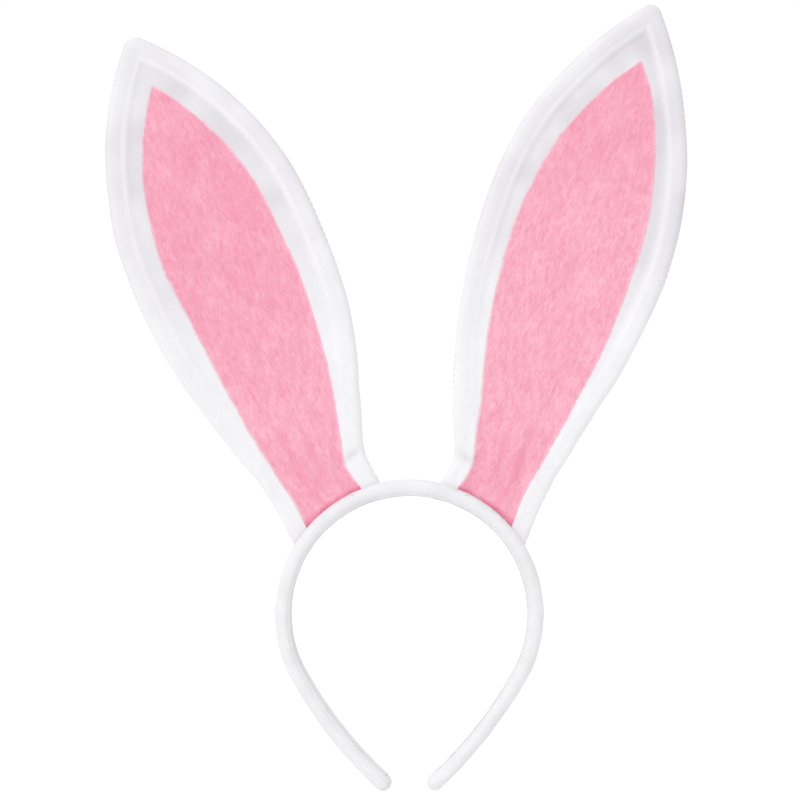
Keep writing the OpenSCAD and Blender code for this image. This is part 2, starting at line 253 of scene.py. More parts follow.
@dataclass
class Tube:
    """A closed skin made of rings, one after another, that can be cut across between two rings.

    rings has the shape (ring, point, 3), in metres, and nap the same shape, in millimetres. Each
    ring goes along one face and comes back along the other. A pole closes an end that is a point.
    """

    rings: np.ndarray
    nap: np.ndarray
    pole: np.ndarray | None = None
    pole_nap: np.ndarray | None = None
    marks: np.ndarray | None = None

    def points(self) -> tuple[np.ndarray, np.ndarray]:
        """All the points and nap coordinates, ring by ring, with the pole last."""
        p, n = self.rings.reshape(-1, 3), self.nap.reshape(-1, 3)
        if self.pole is not None:
            p, n = np.vstack([p, self.pole]), np.vstack([n, self.pole_nap])
        return p, n

    def skin(self, first: int, last: int) -> list[tuple[int, ...]]:
        """Faces between two rings, with the pole if they reach the last ring."""
        k = self.rings.shape[1]
        around = [(j, (j + 1) % k) for j in range(k)]
        rows = range(first * k, last * k, k)
        faces = [(i + a, i + b, i + k + b, i + k + a) for i in rows for a, b in around]
        if last == len(self.rings) - 1 and self.pole is not None:
            top = self.rings.shape[0] * k
            faces += [(last * k + a, last * k + b, top) for a, b in around]
        return faces

    def lid(self, ring: int, upper: bool) -> list[tuple[int, ...]]:
        """Faces that close a ring, between the points that face each other across it."""
        k = self.rings.shape[1]
        at = lambda j: ring * k + j % k
        faces: list[tuple[int, ...]] = [(at(0), at(1), at(k - 1))]
        faces += [(at(j), at(j + 1), at(k - j - 1), at(k - j)) for j in range(1, k // 2 - 1)]
        faces.append((at(k // 2 - 1), at(k // 2), at(k // 2 + 1)))
        return [tuple(reversed(f)) for f in faces] if not upper else faces

    def pieces(self, cuts: Sequence[int]) -> list[tuple[Mesh, np.ndarray]]:
        """The skin cut across at some rings.

        Args:
            cuts: the rings at which one piece ends and the next begins.

        Returns:
            A closed mesh and its normals for each piece, from the first ring on. The normals are
            the whole skin's, so that no seam shows at a cut.
        """
        p, n = self.points()
        marks = np.zeros((len(p), 3))
        if self.marks is not None:
            marks[: self.rings.shape[0] * self.rings.shape[1]] = self.marks.reshape(-1, 3)
        end = len(self.rings) - 1
        closed = self.skin(0, end) + self.lid(0, False)
        if self.pole is None:
            closed += self.lid(end, True)
        whole = Mesh(p, closed, n)
        turned = whole.volume() < 0
        normals = whole.outwards().normals()
        out = []
        for first, last in zip([0, *cuts], [*cuts, end]):
            faces = self.skin(first, last) + self.lid(first, False)
            if last < end or self.pole is None:
                faces += self.lid(last, True)
            if turned:
                faces = [tuple(reversed(f)) for f in faces]
            used = np.unique(np.fromiter(itertools.chain.from_iterable(faces), int))
            number = {old: new for new, old in enumerate(used.tolist())}
            faces = [tuple(number[i] for i in f) for f in faces]
            out.append((Mesh(p[used], faces, n[used], marks[used]), normals[used]))
        return out


def strand(path: np.ndarray, radius: float, sides: int, nap_step: float, nap_start: float = 0.0,
           lobes: float = 0.0, turns: float = 0.0) -> Mesh:
    """A round wire or thread along a path, as a closed mesh.

    Args:
        path: points of the middle line in millimetres, one row of three numbers each.
        radius: its radius; the first and last ring are drawn in.
        sides: points on a ring.
        nap_step: how far apart two points of a ring are in the nap coordinates.
        nap_start: where the nap coordinates start along it.
        lobes: how deep the hollow between its two twisted plies is, as a share of the radius.
        turns: how often the plies turn round each other on the way.

    Returns:
        The mesh, with its nap running along the path.
    """
    step = np.gradient(path, axis=0)
    step /= np.linalg.norm(step, axis=1)[:, None]
    side = np.cross(step, [0.0, 1.0, 0.0])
    flat = np.linalg.norm(side, axis=1) < 0.2
    side[flat] = np.cross(step[flat], [1.0, 0.0, 0.0])
    side /= np.linalg.norm(side, axis=1)[:, None]
    up = np.cross(side, step)
    angle = np.arange(sides) * 2 * math.pi / sides
    length = np.concatenate([[0], np.cumsum(np.linalg.norm(np.diff(path, axis=0), axis=1))])
    phase = angle[None, :] + (2 * math.pi * turns * length / max(length[-1], 1e-9))[:, None]
    size = radius * (1 - lobes * np.sin(phase) ** 2)
    size[[0, -1]] *= 0.4
    ring = side[:, None, :] * np.cos(angle)[None, :, None] + up[:, None, :] * np.sin(angle)[None, :, None]
    rings = path[:, None, :] + ring * size[:, :, None]
    along = length[:, None] + nap_start
    nap = np.stack(np.broadcast_arrays(np.arange(sides) * nap_step, along, 0.0), axis=-1)
    (mesh, _), = Tube(rings * MM, nap).pieces([])
    return mesh


# ---------------------------------------------------------------- finishes


class Graph:
    """A node tree that is filled in a line at a time."""

    def __init__(self, tree: bpy.types.NodeTree) -> None:
        """Starts on a tree, with nothing in it."""
        self.tree = tree
        tree.nodes.clear()

    def add(self, kind: str, inputs: dict | None = None, **settings: object) -> bpy.types.Node:
        """Adds a node.

        Args:
            kind: the node's type, without its ShaderNode start.
            inputs: values or sockets for its inputs, by name or number.
            settings: its other settings.

        Returns:
            The new node.
        """
        made = self.tree.nodes.new(kind if kind.startswith("NodeGroup") else "ShaderNode" + kind)
        for name, value in settings.items():
            setattr(made, name, value)
        for name, value in (inputs or {}).items():
            socket = made.inputs[name]
            if isinstance(value, bpy.types.NodeSocket):
                self.tree.links.new(value, socket)
            else:
                socket.default_value = value
        return made

    def maths(self, operation: str, *values: object) -> bpy.types.NodeSocket:
        """The result of a sum on values or sockets."""
        return self.add("Math", dict(enumerate(values)), operation=operation).outputs[0]

    def vector(self, operation: str, *values: object) -> bpy.types.NodeSocket:
        """The result of a vector sum on values or sockets."""
        return self.add("VectorMath", dict(enumerate(values)), operation=operation).outputs[0]

    def blend(self, share: object, a: object, b: object) -> bpy.types.NodeSocket:
        """A colour between a and b."""
        node = self.add("Mix", data_type="RGBA")
        for name, value in (("Factor_Float", share), ("A_Color", a), ("B_Color", b)):
            socket = next(s for s in node.inputs if s.identifier == name)
            if isinstance(value, bpy.types.NodeSocket):
                self.tree.links.new(value, socket)
            else:
                socket.default_value = value
        return next(s for s in node.outputs if s.identifier == "Result_Color")


class Effect(Enum):
    """The shared surface effects. Each is one node group, built once."""

    PILE = "short_pile"
    WEAVE = "fine_weave"
    GRAIN = "fine_grain"

    def tree(self) -> bpy.types.NodeTree:
        """The effect's node group, made on first use."""
        found = bpy.data.node_groups.get(self.value)
        if found is not None:
            return found
        tree = bpy.data.node_groups.new(self.value, "ShaderNodeTree")
        tree.interface.new_socket("Coord", in_out="INPUT", socket_type="NodeSocketVector")
        build, figures = {
            Effect.PILE: (self._pile, ("Strand", "Stretch", "Patch", "Unevenness", "Contrast")),
            Effect.WEAVE: (self._weave, ("Yarn", "Slope", "Contrast")),
            Effect.GRAIN: (self._grain, ("Size", "Stretch", "Contrast")),
        }[self]
        for name in figures:
            socket = tree.interface.new_socket(name, in_out="INPUT", socket_type="NodeSocketFloat")
            socket.default_value = 1.0
        for name in ("Tone", "Height"):
            tree.interface.new_socket(name, in_out="OUTPUT", socket_type="NodeSocketFloat")
        g = Graph(tree)
        source = g.add("NodeGroupInput").outputs
        tone, height = build(g, source)
        g.add("NodeGroupOutput", {"Tone": tone, "Height": height})
        return tree

    @staticmethod
    def _scaled(g: Graph, coord: object, size: object, stretch: object) -> bpy.types.NodeSocket:
        """Coordinates counted in units of a size, drawn out along the nap."""
        across = g.maths("DIVIDE", 1.0, size)
        along = g.maths("DIVIDE", across, stretch)
        step = g.add("CombineXYZ", {"X": across, "Y": along, "Z": across}).outputs[0]
        return g.vector("MULTIPLY", coord, step)

    @staticmethod
    def _cloud(g: Graph, at: bpy.types.NodeSocket, detail: float, roughness: float = 0.5) -> bpy.types.Node:
        """A soft random pattern at some coordinates."""
        return g.add("TexNoise", {"Vector": at, "Scale": 1.0, "Detail": detail, "Roughness": roughness})

    @staticmethod
    def _pile(g: Graph, source: Sockets) -> tuple[bpy.types.NodeSocket, bpy.types.NodeSocket]:
        """Strands that lie one way, in clumps and brushed patches."""
        drift = Effect._cloud(g, Effect._scaled(g, source["Coord"], 9.0, 1.6), 2.0)
        centred = g.vector("SUBTRACT", drift.outputs["Color"], (0.5, 0.5, 0.5))
        bent = g.vector("ADD", source["Coord"], g.vector("MULTIPLY", centred, (5.0, 0.0, 2.0)))
        wider = g.maths("MULTIPLY", source["Strand"], 4.0)
        strand_at = Effect._scaled(g, bent, source["Strand"], source["Stretch"])
        clump_at = Effect._scaled(g, bent, wider, 3.0)
        patch_at = Effect._scaled(g, bent, source["Patch"], 1.5)
        single = Effect._cloud(g, strand_at, 3.0, 0.6).outputs["Fac"]
        clump = Effect._cloud(g, clump_at, 2.0).outputs["Fac"]
        patch = Effect._cloud(g, patch_at, 3.0, 0.55).outputs["Fac"]
        both = g.maths("ADD", single, g.maths("MULTIPLY", clump, 0.6))
        fine = g.maths("MULTIPLY", g.maths("SUBTRACT", both, 0.8), source["Contrast"])
        uneven = g.maths("MULTIPLY", source["Unevenness"], 3.0)
        broad = g.maths("MULTIPLY", g.maths("SUBTRACT", patch, 0.5), uneven)
        tone = g.maths("ADD", g.maths("ADD", fine, broad), 0.5)
        height = g.maths("ADD", g.maths("MULTIPLY", single, 0.6), g.maths("MULTIPLY", clump, 0.4))
        return g.add("Clamp", {"Value": tone}).outputs[0], height

    @staticmethod
    def _weave(g: Graph, source: Sockets) -> tuple[bpy.types.NodeSocket, bpy.types.NodeSocket]:
        """Yarns that cross, or the slanting plies of a thread."""
        part = g.add("SeparateXYZ", {0: source["Coord"]}).outputs
        turn = g.maths("DIVIDE", 2 * math.pi, source["Yarn"])
        along = g.maths("ADD", part["Y"], g.maths("MULTIPLY", part["X"], source["Slope"]))
        rib = g.maths("SINE", g.maths("MULTIPLY", along, turn))
        cross = g.maths("SINE", g.maths("MULTIPLY", part["X"], g.maths("MULTIPLY", turn, 0.7)))
        crossing = g.maths("ADD", g.maths("MULTIPLY", rib, 0.35), g.maths("MULTIPLY", cross, 0.12))
        height = g.maths("ADD", 0.5, crossing)
        slub = g.add("TexNoise", {"Vector": source["Coord"], "Scale": 0.6, "Detail": 3.0}).outputs["Fac"]
        low = g.maths("MULTIPLY", g.maths("SUBTRACT", g.maths("ADD", height, slub), 1.0), source["Contrast"])
        return g.add("Clamp", {"Value": g.maths("ADD", low, 0.5)}).outputs[0], height

    @staticmethod
    def _grain(g: Graph, source: Sockets) -> tuple[bpy.types.NodeSocket, bpy.types.NodeSocket]:
        """Small pits and streaks, from foam cells to drawn metal."""
        at = Effect._scaled(g, source["Coord"], source["Size"], source["Stretch"])
        cell = g.add("TexVoronoi", {"Vector": at, "Scale": 1.0}).outputs["Distance"]
        speck = g.add("TexNoise", {"Vector": at, "Scale": 1.7, "Detail": 4.0}).outputs["Fac"]
        height = g.maths("ADD", g.maths("MULTIPLY", cell, 0.5), g.maths("MULTIPLY", speck, 0.5))
        tone = g.maths("MULTIPLY", g.maths("SUBTRACT", height, 0.45), source["Contrast"])
        return g.add("Clamp", {"Value": g.maths("ADD", tone, 0.5)}).outputs[0], height


@dataclass(frozen=True)
class Finish:
    """What a piece is made of: two colours that an effect mixes, and how the surface takes light."""

    name: str
    slot: str
    effect: Effect
    light: tuple[float, float, float]
    deep: tuple[float, float, float]
    figures: Figures
    roughness: float = 0.9
    relief: float = 0.1
    specular: float = 0.25
    metallic: float = 0.0
    sheen: float = 0.0
    # colour of the painted shade, as a share of the deep colour
    shade_tint: tuple[float, float, float] = (0.85, 0.82, 0.845)
    thin_tint: tuple[float, float, float] = (0.8, 0.8, 0.82)
    coord: str = NAP

    def material(self) -> bpy.types.Material:
        """The finish as a material, made on first use."""
        found = bpy.data.materials.get(self.name)
        if found is not None:
            return found
        made = bpy.data.materials.new(self.name)
        made.use_nodes = True
        made.diffuse_color = (*self.light, 1.0)
        g = Graph(made.node_tree)
        if self.coord == NAP:
            where = g.add("Attribute", attribute_name=NAP, attribute_type="GEOMETRY").outputs["Vector"]
        else:
            place = g.add("TexCoord").outputs["Object"]
            where = g.vector("MULTIPLY", place, (1000.0, 1000.0, 1000.0))
        group = g.add("Group", node_tree=self.effect.tree())
        g.tree.links.new(where, group.inputs["Coord"])
        for name, value in self.figures:
            group.inputs[name].default_value = value
        colour = g.blend(group.outputs["Tone"], (*self.deep, 1.0), (*self.light, 1.0))
        if self.coord == NAP:
            marks = g.add("Attribute", attribute_name=MARKS, attribute_type="GEOMETRY").outputs["Vector"]
            mark = g.add("SeparateXYZ", {0: marks}).outputs
            # painted shade: the colour mixes towards a darker copy of the deep colour where the marks' first
            # channel is high
            painted_shade = (*(c * k for c, k in zip(self.deep, self.shade_tint)), 1.0)
            colour = g.blend(mark["X"], colour, painted_shade)
            thin = g.maths("MULTIPLY", mark["Y"], g.maths("ADD", 0.45, group.outputs["Height"]))
            colour = g.blend(thin, colour, (*self.thin_tint, 1.0))
        relief = {"Strength": 1.0, "Distance": self.relief * MM, "Height": group.outputs["Height"]}
        raised = g.add("Bump", relief)
        shader = g.add("BsdfPrincipled", {
            "Base Color": colour, "Roughness": self.roughness, "Metallic": self.metallic,
            "Specular IOR Level": self.specular, "Sheen Weight": self.sheen, "Sheen Roughness": 0.45,
            "Normal": raised.outputs["Normal"],
        })
        g.add("OutputMaterial", {"Surface": shader.outputs["BSDF"]})
        return made

    def dress(self, piece: bpy.types.Object) -> None:
        """Puts the finish on every slot of a part that the frame drew."""
        made = self.material()
        if not piece.data.materials:
            piece.data.materials.append(made)
        for s in piece.material_slots:
            s.material = made


def pile(strand: float, stretch: float, patch: float, unevenness: float, contrast: float) -> Figures:
    """Figures for a pile: its strand and patch sizes in millimetres, and how strongly it shows."""
    return (("Strand", strand), ("Stretch", stretch), ("Patch", patch), ("Unevenness", unevenness),
            ("Contrast", contrast))


def weave(yarn: float, slope: float, contrast: float) -> Figures:
    """Figures for a weave: the yarn's spacing in millimetres, its slope and how strongly it shows."""
    return (("Yarn", yarn), ("Slope", slope), ("Contrast", contrast))


def grain(size: float, stretch: float, contrast: float) -> Figures:
    """Figures for a grain: its size in millimetres, how drawn out it is and how strongly it shows."""
    return (("Size", size), ("Stretch", stretch), ("Contrast", contrast))


WHITE_PLUSH = Finish("white plush", "white_plush", Effect.PILE, (0.825, 0.822, 0.832), (0.735, 0.727, 0.745),
                     pile(0.6, 3.0, 14.0, 0.3, 0.8), relief=0.25, sheen=0.08)
BAND_PLUSH = Finish("band plush", "white_plush", Effect.PILE, (0.79, 0.787, 0.78), (0.69, 0.68, 0.70),
                    pile(0.6, 1.4, 9.0, 0.4, 1.0), relief=0.3, sheen=0.08)
PINK_PLUSH = Finish("pink plush", "pink_plush", Effect.PILE, (0.885, 0.465, 0.565), (0.775, 0.285, 0.385),
                    pile(0.5, 5.0, 14.0, 0.24, 1.9), relief=0.5, sheen=0.06,
                    shade_tint=(0.95, 0.66, 0.78), thin_tint=(0.85, 0.66, 0.71))
TAPE = Finish("lining tape", "lining_tape", Effect.WEAVE, (0.78, 0.78, 0.775), (0.70, 0.695, 0.70),
              weave(0.6, 0.0, 0.5), relief=0.08, sheen=0.08)
THREAD = Finish("sewing thread", "white_thread", Effect.WEAVE, (0.82, 0.82, 0.83), (0.70, 0.70, 0.73),
                weave(0.7, 0.8, 0.7), roughness=0.6, relief=0.08)
CORE = Finish("moulded core", "core_plastic", Effect.GRAIN, (0.74, 0.75, 0.77), (0.66, 0.67, 0.70),
              grain(0.5, 1.0, 0.8), roughness=0.55, relief=0.02, specular=0.5, coord="object")
FOAM = Finish("foam", "ear_foam", Effect.GRAIN, (0.86, 0.83, 0.72), (0.62, 0.58, 0.46),
              grain(1.1, 1.0, 1.6), relief=0.5)
WIRE = Finish("frame wire", "frame_wire", Effect.GRAIN, (0.56, 0.57, 0.60), (0.36, 0.36, 0.38),
              grain(0.3, 30.0, 1.0), roughness=0.35, relief=0.02, specular=0.5, metallic=1.0)
FERRULE = Finish("crimped ferrule", "ferrule_metal", Effect.GRAIN, (0.75, 0.76, 0.78), (0.55, 0.56, 0.58),
                 grain(0.4, 3.0, 1.0), roughness=0.4, relief=0.03, specular=0.5, metallic=1.0, coord="object")
FLOOR = Finish("studio floor", "floor", Effect.GRAIN, (0.97, 0.97, 0.97), (0.955, 0.955, 0.955),
               grain(40.0, 1.0, 0.5), roughness=0.95, relief=0.01, coord="object")


# ---------------------------------------------------------------- ears


@dataclass(frozen=True)
class Leaf:
    """A leaf outline in millimetres, drawn with the same arcs as the frame's."""

    half_w: float
    wide_at: float
    upper_r: float
    side_r: float
    neck: float
    neck_r: float
    tip_r: float
    TIP_STEPS: ClassVar[int] = 9
    LAST_ANGLE: ClassVar[float] = 86.0

    @staticmethod
    def of(half_w: float, wide_at: float, apex: float, side_r: float, neck: float, neck_r: float,
           tip_r: float) -> "Leaf":
        """A leaf whose sides would meet at the height of its apex."""
        upper = ((apex - wide_at) ** 2 + half_w**2) / (2 * half_w)
        return Leaf(half_w, wide_at, upper, side_r, neck, neck_r, tip_r)

    def inset(self, d: float, tip_r: float) -> "Leaf":
        """The same leaf drawn a distance further in, with its own tip."""
        return Leaf(self.half_w - d, self.wide_at, self.upper_r - d, self.side_r - d,
                    self.neck - d, self.neck_r + d, tip_r)

    @property
    def tip_at(self) -> float:
        """Height of the middle of the rounded tip."""
        return self.wide_at + math.sqrt((self.upper_r - self.tip_r) ** 2 - (self.upper_r - self.half_w) ** 2)

    @property
    def top(self) -> float:
        """Height of the very tip."""
        return self.tip_at + self.tip_r

    @property
    def tip_angle(self) -> float:
        """Angle at which the rounded tip takes over from the side."""
        return math.atan2(self.tip_at - self.wide_at, self.upper_r - self.half_w)

    @property
    def neck_at(self) -> float:
        """Height of the neck's narrowest place."""
        reach = self.side_r + self.neck_r
        return self.wide_at - math.sqrt(reach**2 - (reach - self.half_w + self.neck) ** 2)

    def half_width(self, height: np.ndarray) -> np.ndarray:
        """Half the leaf's width at each height."""
        u = np.asarray(height, float)
        nx, nz, lx = self.neck + self.neck_r, self.neck_at, self.half_w - self.side_r
        turn = nz + self.neck_r * math.sin(math.atan2(self.wide_at - nz, lx - nx))
        over = self.tip_at + self.tip_r * math.sin(self.tip_angle)
        root = lambda value: np.sqrt(np.maximum(value, 0))
        return np.select(
            [u < nz, u < turn, u < self.wide_at, u < over],
            [np.full_like(u, self.neck), nx - root(self.neck_r**2 - (u - nz) ** 2),
             lx + root(self.side_r**2 - (u - self.wide_at) ** 2),
             self.half_w - self.upper_r + root(self.upper_r**2 - (u - self.wide_at) ** 2)],
            root(self.tip_r**2 - (u - self.tip_at) ** 2))

    def heights(self, start: float, step: float, times: int) -> np.ndarray:
        """Heights from start to just under the tip, closer together round the tip.

        Args:
            start: the first height.
            step: about how far apart they are below the tip.
            times: the number of steps is a whole number of times this.

        Returns:
            The heights.
        """
        over = self.tip_at + self.tip_r * math.sin(self.tip_angle)
        count = math.ceil((over - start) / step)
        tip = self.TIP_STEPS + (-(count + self.TIP_STEPS)) % times
        bend = np.linspace(self.tip_angle, math.radians(self.LAST_ANGLE), tip + 1)[1:]
        return np.concatenate([np.linspace(start, over, count + 1), self.tip_at + self.tip_r * np.sin(bend)])


@dataclass(frozen=True)
class Drift:
    """How a hand-sewn ear strays outwards from its pattern, in millimetres, at each height in AT."""

    inner: tuple[float, ...]
    outer: tuple[float, ...]
    pink: tuple[float, ...]
    pink_fuller: tuple[float, ...]
    AT: ClassVar[tuple[float, ...]] = (0.0, 15.0, 29.0, 45.0, 60.0, 90.0, 125.0, 175.0, 205.0)

    def at(self, figures: tuple[float, ...], u: np.ndarray) -> np.ndarray:
        """One of the four lists of figures, read at any height."""
        return np.interp(u, self.AT, figures)


@dataclass(frozen=True)
class Shade:
    """How much painted shade darkens an ear towards its tip: on the pink between two heights, and on the
    white's outer side.
    """

    pink: float
    start: float
    end: float
    white: float


@dataclass(frozen=True)
class EarSize:
    """The figures of one ear, in millimetres and degrees."""

    side: Side
    lean: float
    length: float
    pink_length: float
    shade: Shade
    drift: Drift
    half_w: float = 47.0
    wide_at: float = 130.0
    side_r: float = 275.0
    neck: float = 22.0
    neck_r: float = 60.0
    tip_r: float = 5.0
    pink_half_w: float = 30.0
    pink_wide_at: float = 125.0
    pink_side_r: float = 400.0
    pink_neck: float = 14.0
    pink_neck_r: float = 40.0
    pink_tip_r: float = 0.8
    polar: float = 32.7
    fold_at: float = 135.0
    root_top: float = 16.0
    edge_round: float = 3.4
    field: float = 2.75
    rim: float = 1.3
    groove: float = 0.35
    pink_t: float = 0.8
    foam_half_t: float = 1.6
    wire_r: float = 0.9
    wire_inset: float = 4.4
    wire_run_at: float = 7.5
    wire_bend_r: float = 5.0
    wire_tip_r: float = 5.0
    foam_inset: float = 5.8
    foam_tip_r: float = 3.6
    shell_sunk: float = 1.2
    pink_sunk: float = 0.6
    turned_under: float = 4.0
    thread_r: float = 0.3
    stitch_pitch: float = 3.1
    stitch_len: float = 2.5
    stitch_inset: float = 0.62
    stitch_centre: float = 110.0


@dataclass(frozen=True)
class Stuffing:
    """How an ear is stuffed: where its cloth is sewn down, how far it may move, and how it gives."""

    edge: float = 1.0
    groove_at: float = 10.2
    groove_half_w: float = 1.5
    root: float = 14.0
    slack: float = 0.9
    steps: int = 20
    limit: float = 1.5
    share: float = 0.6
    cloth: tuple[tuple[str, float], ...] = (
        ("quality", 4), ("mass", 0.15), ("tension_stiffness", 12), ("compression_stiffness", 12),
        ("shear_stiffness", 6), ("bending_stiffness", 0.4), ("use_pressure", True),
        ("uniform_pressure_force", 4))


class Ear:
    """One padded ear: its white shell, pink panel, edge stitches, foam and wire."""

    COLUMNS = 97
    COARSE = 3
    STUFFING = Stuffing()

    def __init__(self, size: EarSize, band: "BandSize") -> None:
        """Sets up an ear on a band."""
        self.size, self.band, self.word = size, band, size.side.word
        s = size
        self.leaf = Leaf.of(s.half_w, s.wide_at, s.length, s.side_r, s.neck, s.neck_r, s.tip_r)
        self.pink = Leaf.of(s.pink_half_w, s.pink_wide_at, s.pink_length, s.pink_side_r, s.pink_neck,
                            s.pink_neck_r, s.pink_tip_r)
        self.seed = 11 if s.side is Side.LEFT else 29
        lean, polar = math.radians(s.lean), math.radians(s.polar)
        outer = band.outer_r
        self.base = np.array([outer * math.sin(polar), outer * math.cos(polar) - band.head_r])
        self.across = np.array([math.cos(lean), -math.sin(lean)])
        self.up = np.array([math.sin(lean), math.cos(lean)])
        self.outline = self._outline_points()

    # ---- where things are

    def _outline_points(self) -> np.ndarray:
        """Points along the ear's whole outline, for measuring how far in a place lies."""
        u = np.concatenate([np.arange(-30.0, 0.0, 1.0), self.leaf.heights(0.0, 1.0, 1)])
        w = self.leaf.half_width(u)
        right = np.stack([w, u], axis=1)
        return np.vstack([right, [[0.0, self.leaf.top]], right[::-1] * [-1, 1]])

    def depth_in(self, x: np.ndarray, u: np.ndarray) -> np.ndarray:
        """How far inside the outline each place lies."""
        p = np.stack([x.ravel(), u.ravel()], axis=1)
        best = np.full(len(p), 1e9)
        for a, b in zip(self.outline[:-1], self.outline[1:]):
            d = b - a
            t = np.clip(((p - a) @ d) / (d @ d), 0, 1)
            gap = p - a - t[:, None] * d
            best = np.minimum(best, (gap * gap).sum(axis=1))
        return np.sqrt(best).reshape(x.shape)

    def base_line(self, x: np.ndarray, radius: float) -> np.ndarray:
        """Height at which each place across the ear meets a circle round the hoop's middle."""
        centre = np.array([0.0, -self.band.head_r]) - self.base
        return centre @ self.up + np.sqrt(np.maximum(radius**2 - (x - centre @ self.across) ** 2, 0))

    def shift(self, share: np.ndarray, u: np.ndarray) -> np.ndarray:
        """How far the root leans outwards, from its inner edge at -1 to its outer edge at 1."""
        drift = self.size.drift
        inner, outer = drift.at(drift.inner, u), drift.at(drift.outer, u)
        return inner + (outer - inner) * (share + 1) / 2

    def place(self, x: np.ndarray, y: np.ndarray, u: np.ndarray, root_r: float) -> np.ndarray:
        """Places in the ear's own plane as points in metres.

        Args:
            x: across the ear, outwards above zero.
            y: depth, forwards below zero.
            u: height up the ear.
            root_r: radius from the hoop's middle at which the root ends.

        Returns:
            An array with three numbers for each place.
        """
        width = np.maximum(self.leaf.half_width(u), 1.0)
        x = x + self.shift(np.clip(x / width, -1, 1), u)
        settle = (1 - np.clip(u / self.size.root_top, 0, 1)) ** 1.6
        low = u + self.base_line(x, root_r) * settle
        flat = self.base + x[..., None] * self.across + low[..., None] * self.up
        return np.stack([self.size.side.value * flat[..., 0], y, flat[..., 1]], axis=-1) * MM

    # ---- the padded form

    def half_thickness(self, x: np.ndarray, u: np.ndarray, d: np.ndarray, front: bool) -> np.ndarray:
        """Half the padded ear's thickness: a raised rim, a groove inside it and a low field."""
        s = self.size
        layer = 9.0 if front else 60.0
        high = 0.25 + 0.75 * smooth(45, 150, u)
        swell = patches(x, u, layer, 17, self.seed) * 0.22 + patches(x, u, layer, 6, self.seed + 1) * 0.09
        plain = 0.35 + 0.65 * smooth(12, -12, x)
        below_tip = 1 - smooth(self.leaf.top - 55, self.leaf.top - 25, u)
        form = s.field + s.rim * high * (1 - smooth(5.8, 11.6, d)) * (0.7 + 0.3 * bump(4.4, 3.5, d))
        form = form - s.groove * high * plain * bump(12.0, 2.4, d)
        form = form + 0.12 * high * plain * bump(8.9, 0.8, d) * below_tip
        form = form - 0.45 * high * smooth(9, 12, d) * (1 - smooth(18, 26, d)) + swell * smooth(1, 6, d)
        pinch = 0.66 + 0.34 * smooth(0, 34, u)
        creases = 0.42 * np.sin(x * 0.62 + 0.05 * u + self.seed) * bump(16, 14, u) * smooth(3, 9, d)
        dent = 1.0 * bump(-17, 9, x) * bump(15.5 - 0.25 * (x + 17), 1.8, u) * smooth(0.5, 3, d)
        return (form * pinch + (creases - dent if front else 0.3 * creases)) * rounded(d / s.edge_round)

    def bow(self, x: np.ndarray, u: np.ndarray) -> np.ndarray:
        """How far the whole ear curves out of its plane."""
        wander = patches(x * 0.4, u, 0.0, 70, self.seed + 5)
        return (0.9 * wander - 0.0011 * x**2) * smooth(15, 70, u)

    def pole(self, leaf: Leaf, x: float, y: float, root_r: float) -> np.ndarray:
        """The point at a leaf's very tip, a little aside and forwards or back."""
        return self.place(np.array([x]), np.array([y]), np.array([leaf.top]), root_r)

    def ring_grid(self) -> tuple[np.ndarray, np.ndarray, np.ndarray, np.ndarray]:
        """The shell's grid: across, height, share of the half width, and front face or back."""
        ring, front = there_and_back(spread(self.COLUMNS))
        u, v = np.meshgrid(self.leaf.heights(0.0, 1.25, self.COARSE), ring, indexing="ij")
        return self.leaf.half_width(u) * v, u, v, np.broadcast_to(front, u.shape)

    def puffed(self, x: np.ndarray, y: np.ndarray, u: np.ndarray, d: np.ndarray) -> np.ndarray:
        """How far stuffing pushes the plush out, found by a cloth simulation on a coarse copy.

        Args:
            x: across the ear, for each place on the shell.
            y: depth before it is stuffed.
            u: height up the ear.
            d: distance inside the outline.

        Returns:
            The change in depth at each place, in millimetres.
        """
        n, how = self.COARSE, self.STUFFING
        pick = (slice(None, None, n), slice(None, None, n))
        start = self.place(x[pick], y[pick] * how.slack, u[pick], self.band.outer_r)
        (form, _), = Tube(start, start * 0).pieces([])
        data = bpy.data.meshes.new("stuffing")
        data.from_pydata(form.points.tolist(), [], form.faces)
        body = bpy.data.objects.new("stuffing", data)
        bpy.context.scene.collection.objects.link(body)
        deep, high = d[pick].ravel(), u[pick].ravel()
        sewn = (deep < how.edge) | (np.abs(deep - how.groove_at) < how.groove_half_w) | (high < how.root)
        body.vertex_groups.new(name="held").add(np.nonzero(sewn)[0].tolist(), 1.0, "REPLACE")
        cloth = body.modifiers.new("cloth", "CLOTH")
        for name, value in how.cloth:
            setattr(cloth.settings, name, value)
        cloth.settings.effector_weights.gravity = 0
        cloth.settings.vertex_group_mass = "held"
        cloth.point_cache.frame_start, cloth.point_cache.frame_end = 1, how.steps
        for step in range(1, how.steps + 1):
            bpy.context.scene.frame_set(step)
        seen = body.evaluated_get(bpy.context.evaluated_depsgraph_get()).data
        moved = np.zeros(len(seen.vertices) * 3)
        seen.vertices.foreach_get("co", moved)
        change = (moved.reshape(start.shape) - start)[..., 1] / MM
        bpy.data.objects.remove(body)
        bpy.data.meshes.remove(data)
        bpy.context.scene.frame_set(1)
        change = np.clip(np.nan_to_num(change), -how.limit, how.limit)
        log.info("%s ear: stuffing moved the plush by up to %.2f mm", self.word, float(np.abs(change).max()))
        return finer(finer(change, n, 0, False), n, 1, True)[: x.shape[0]]

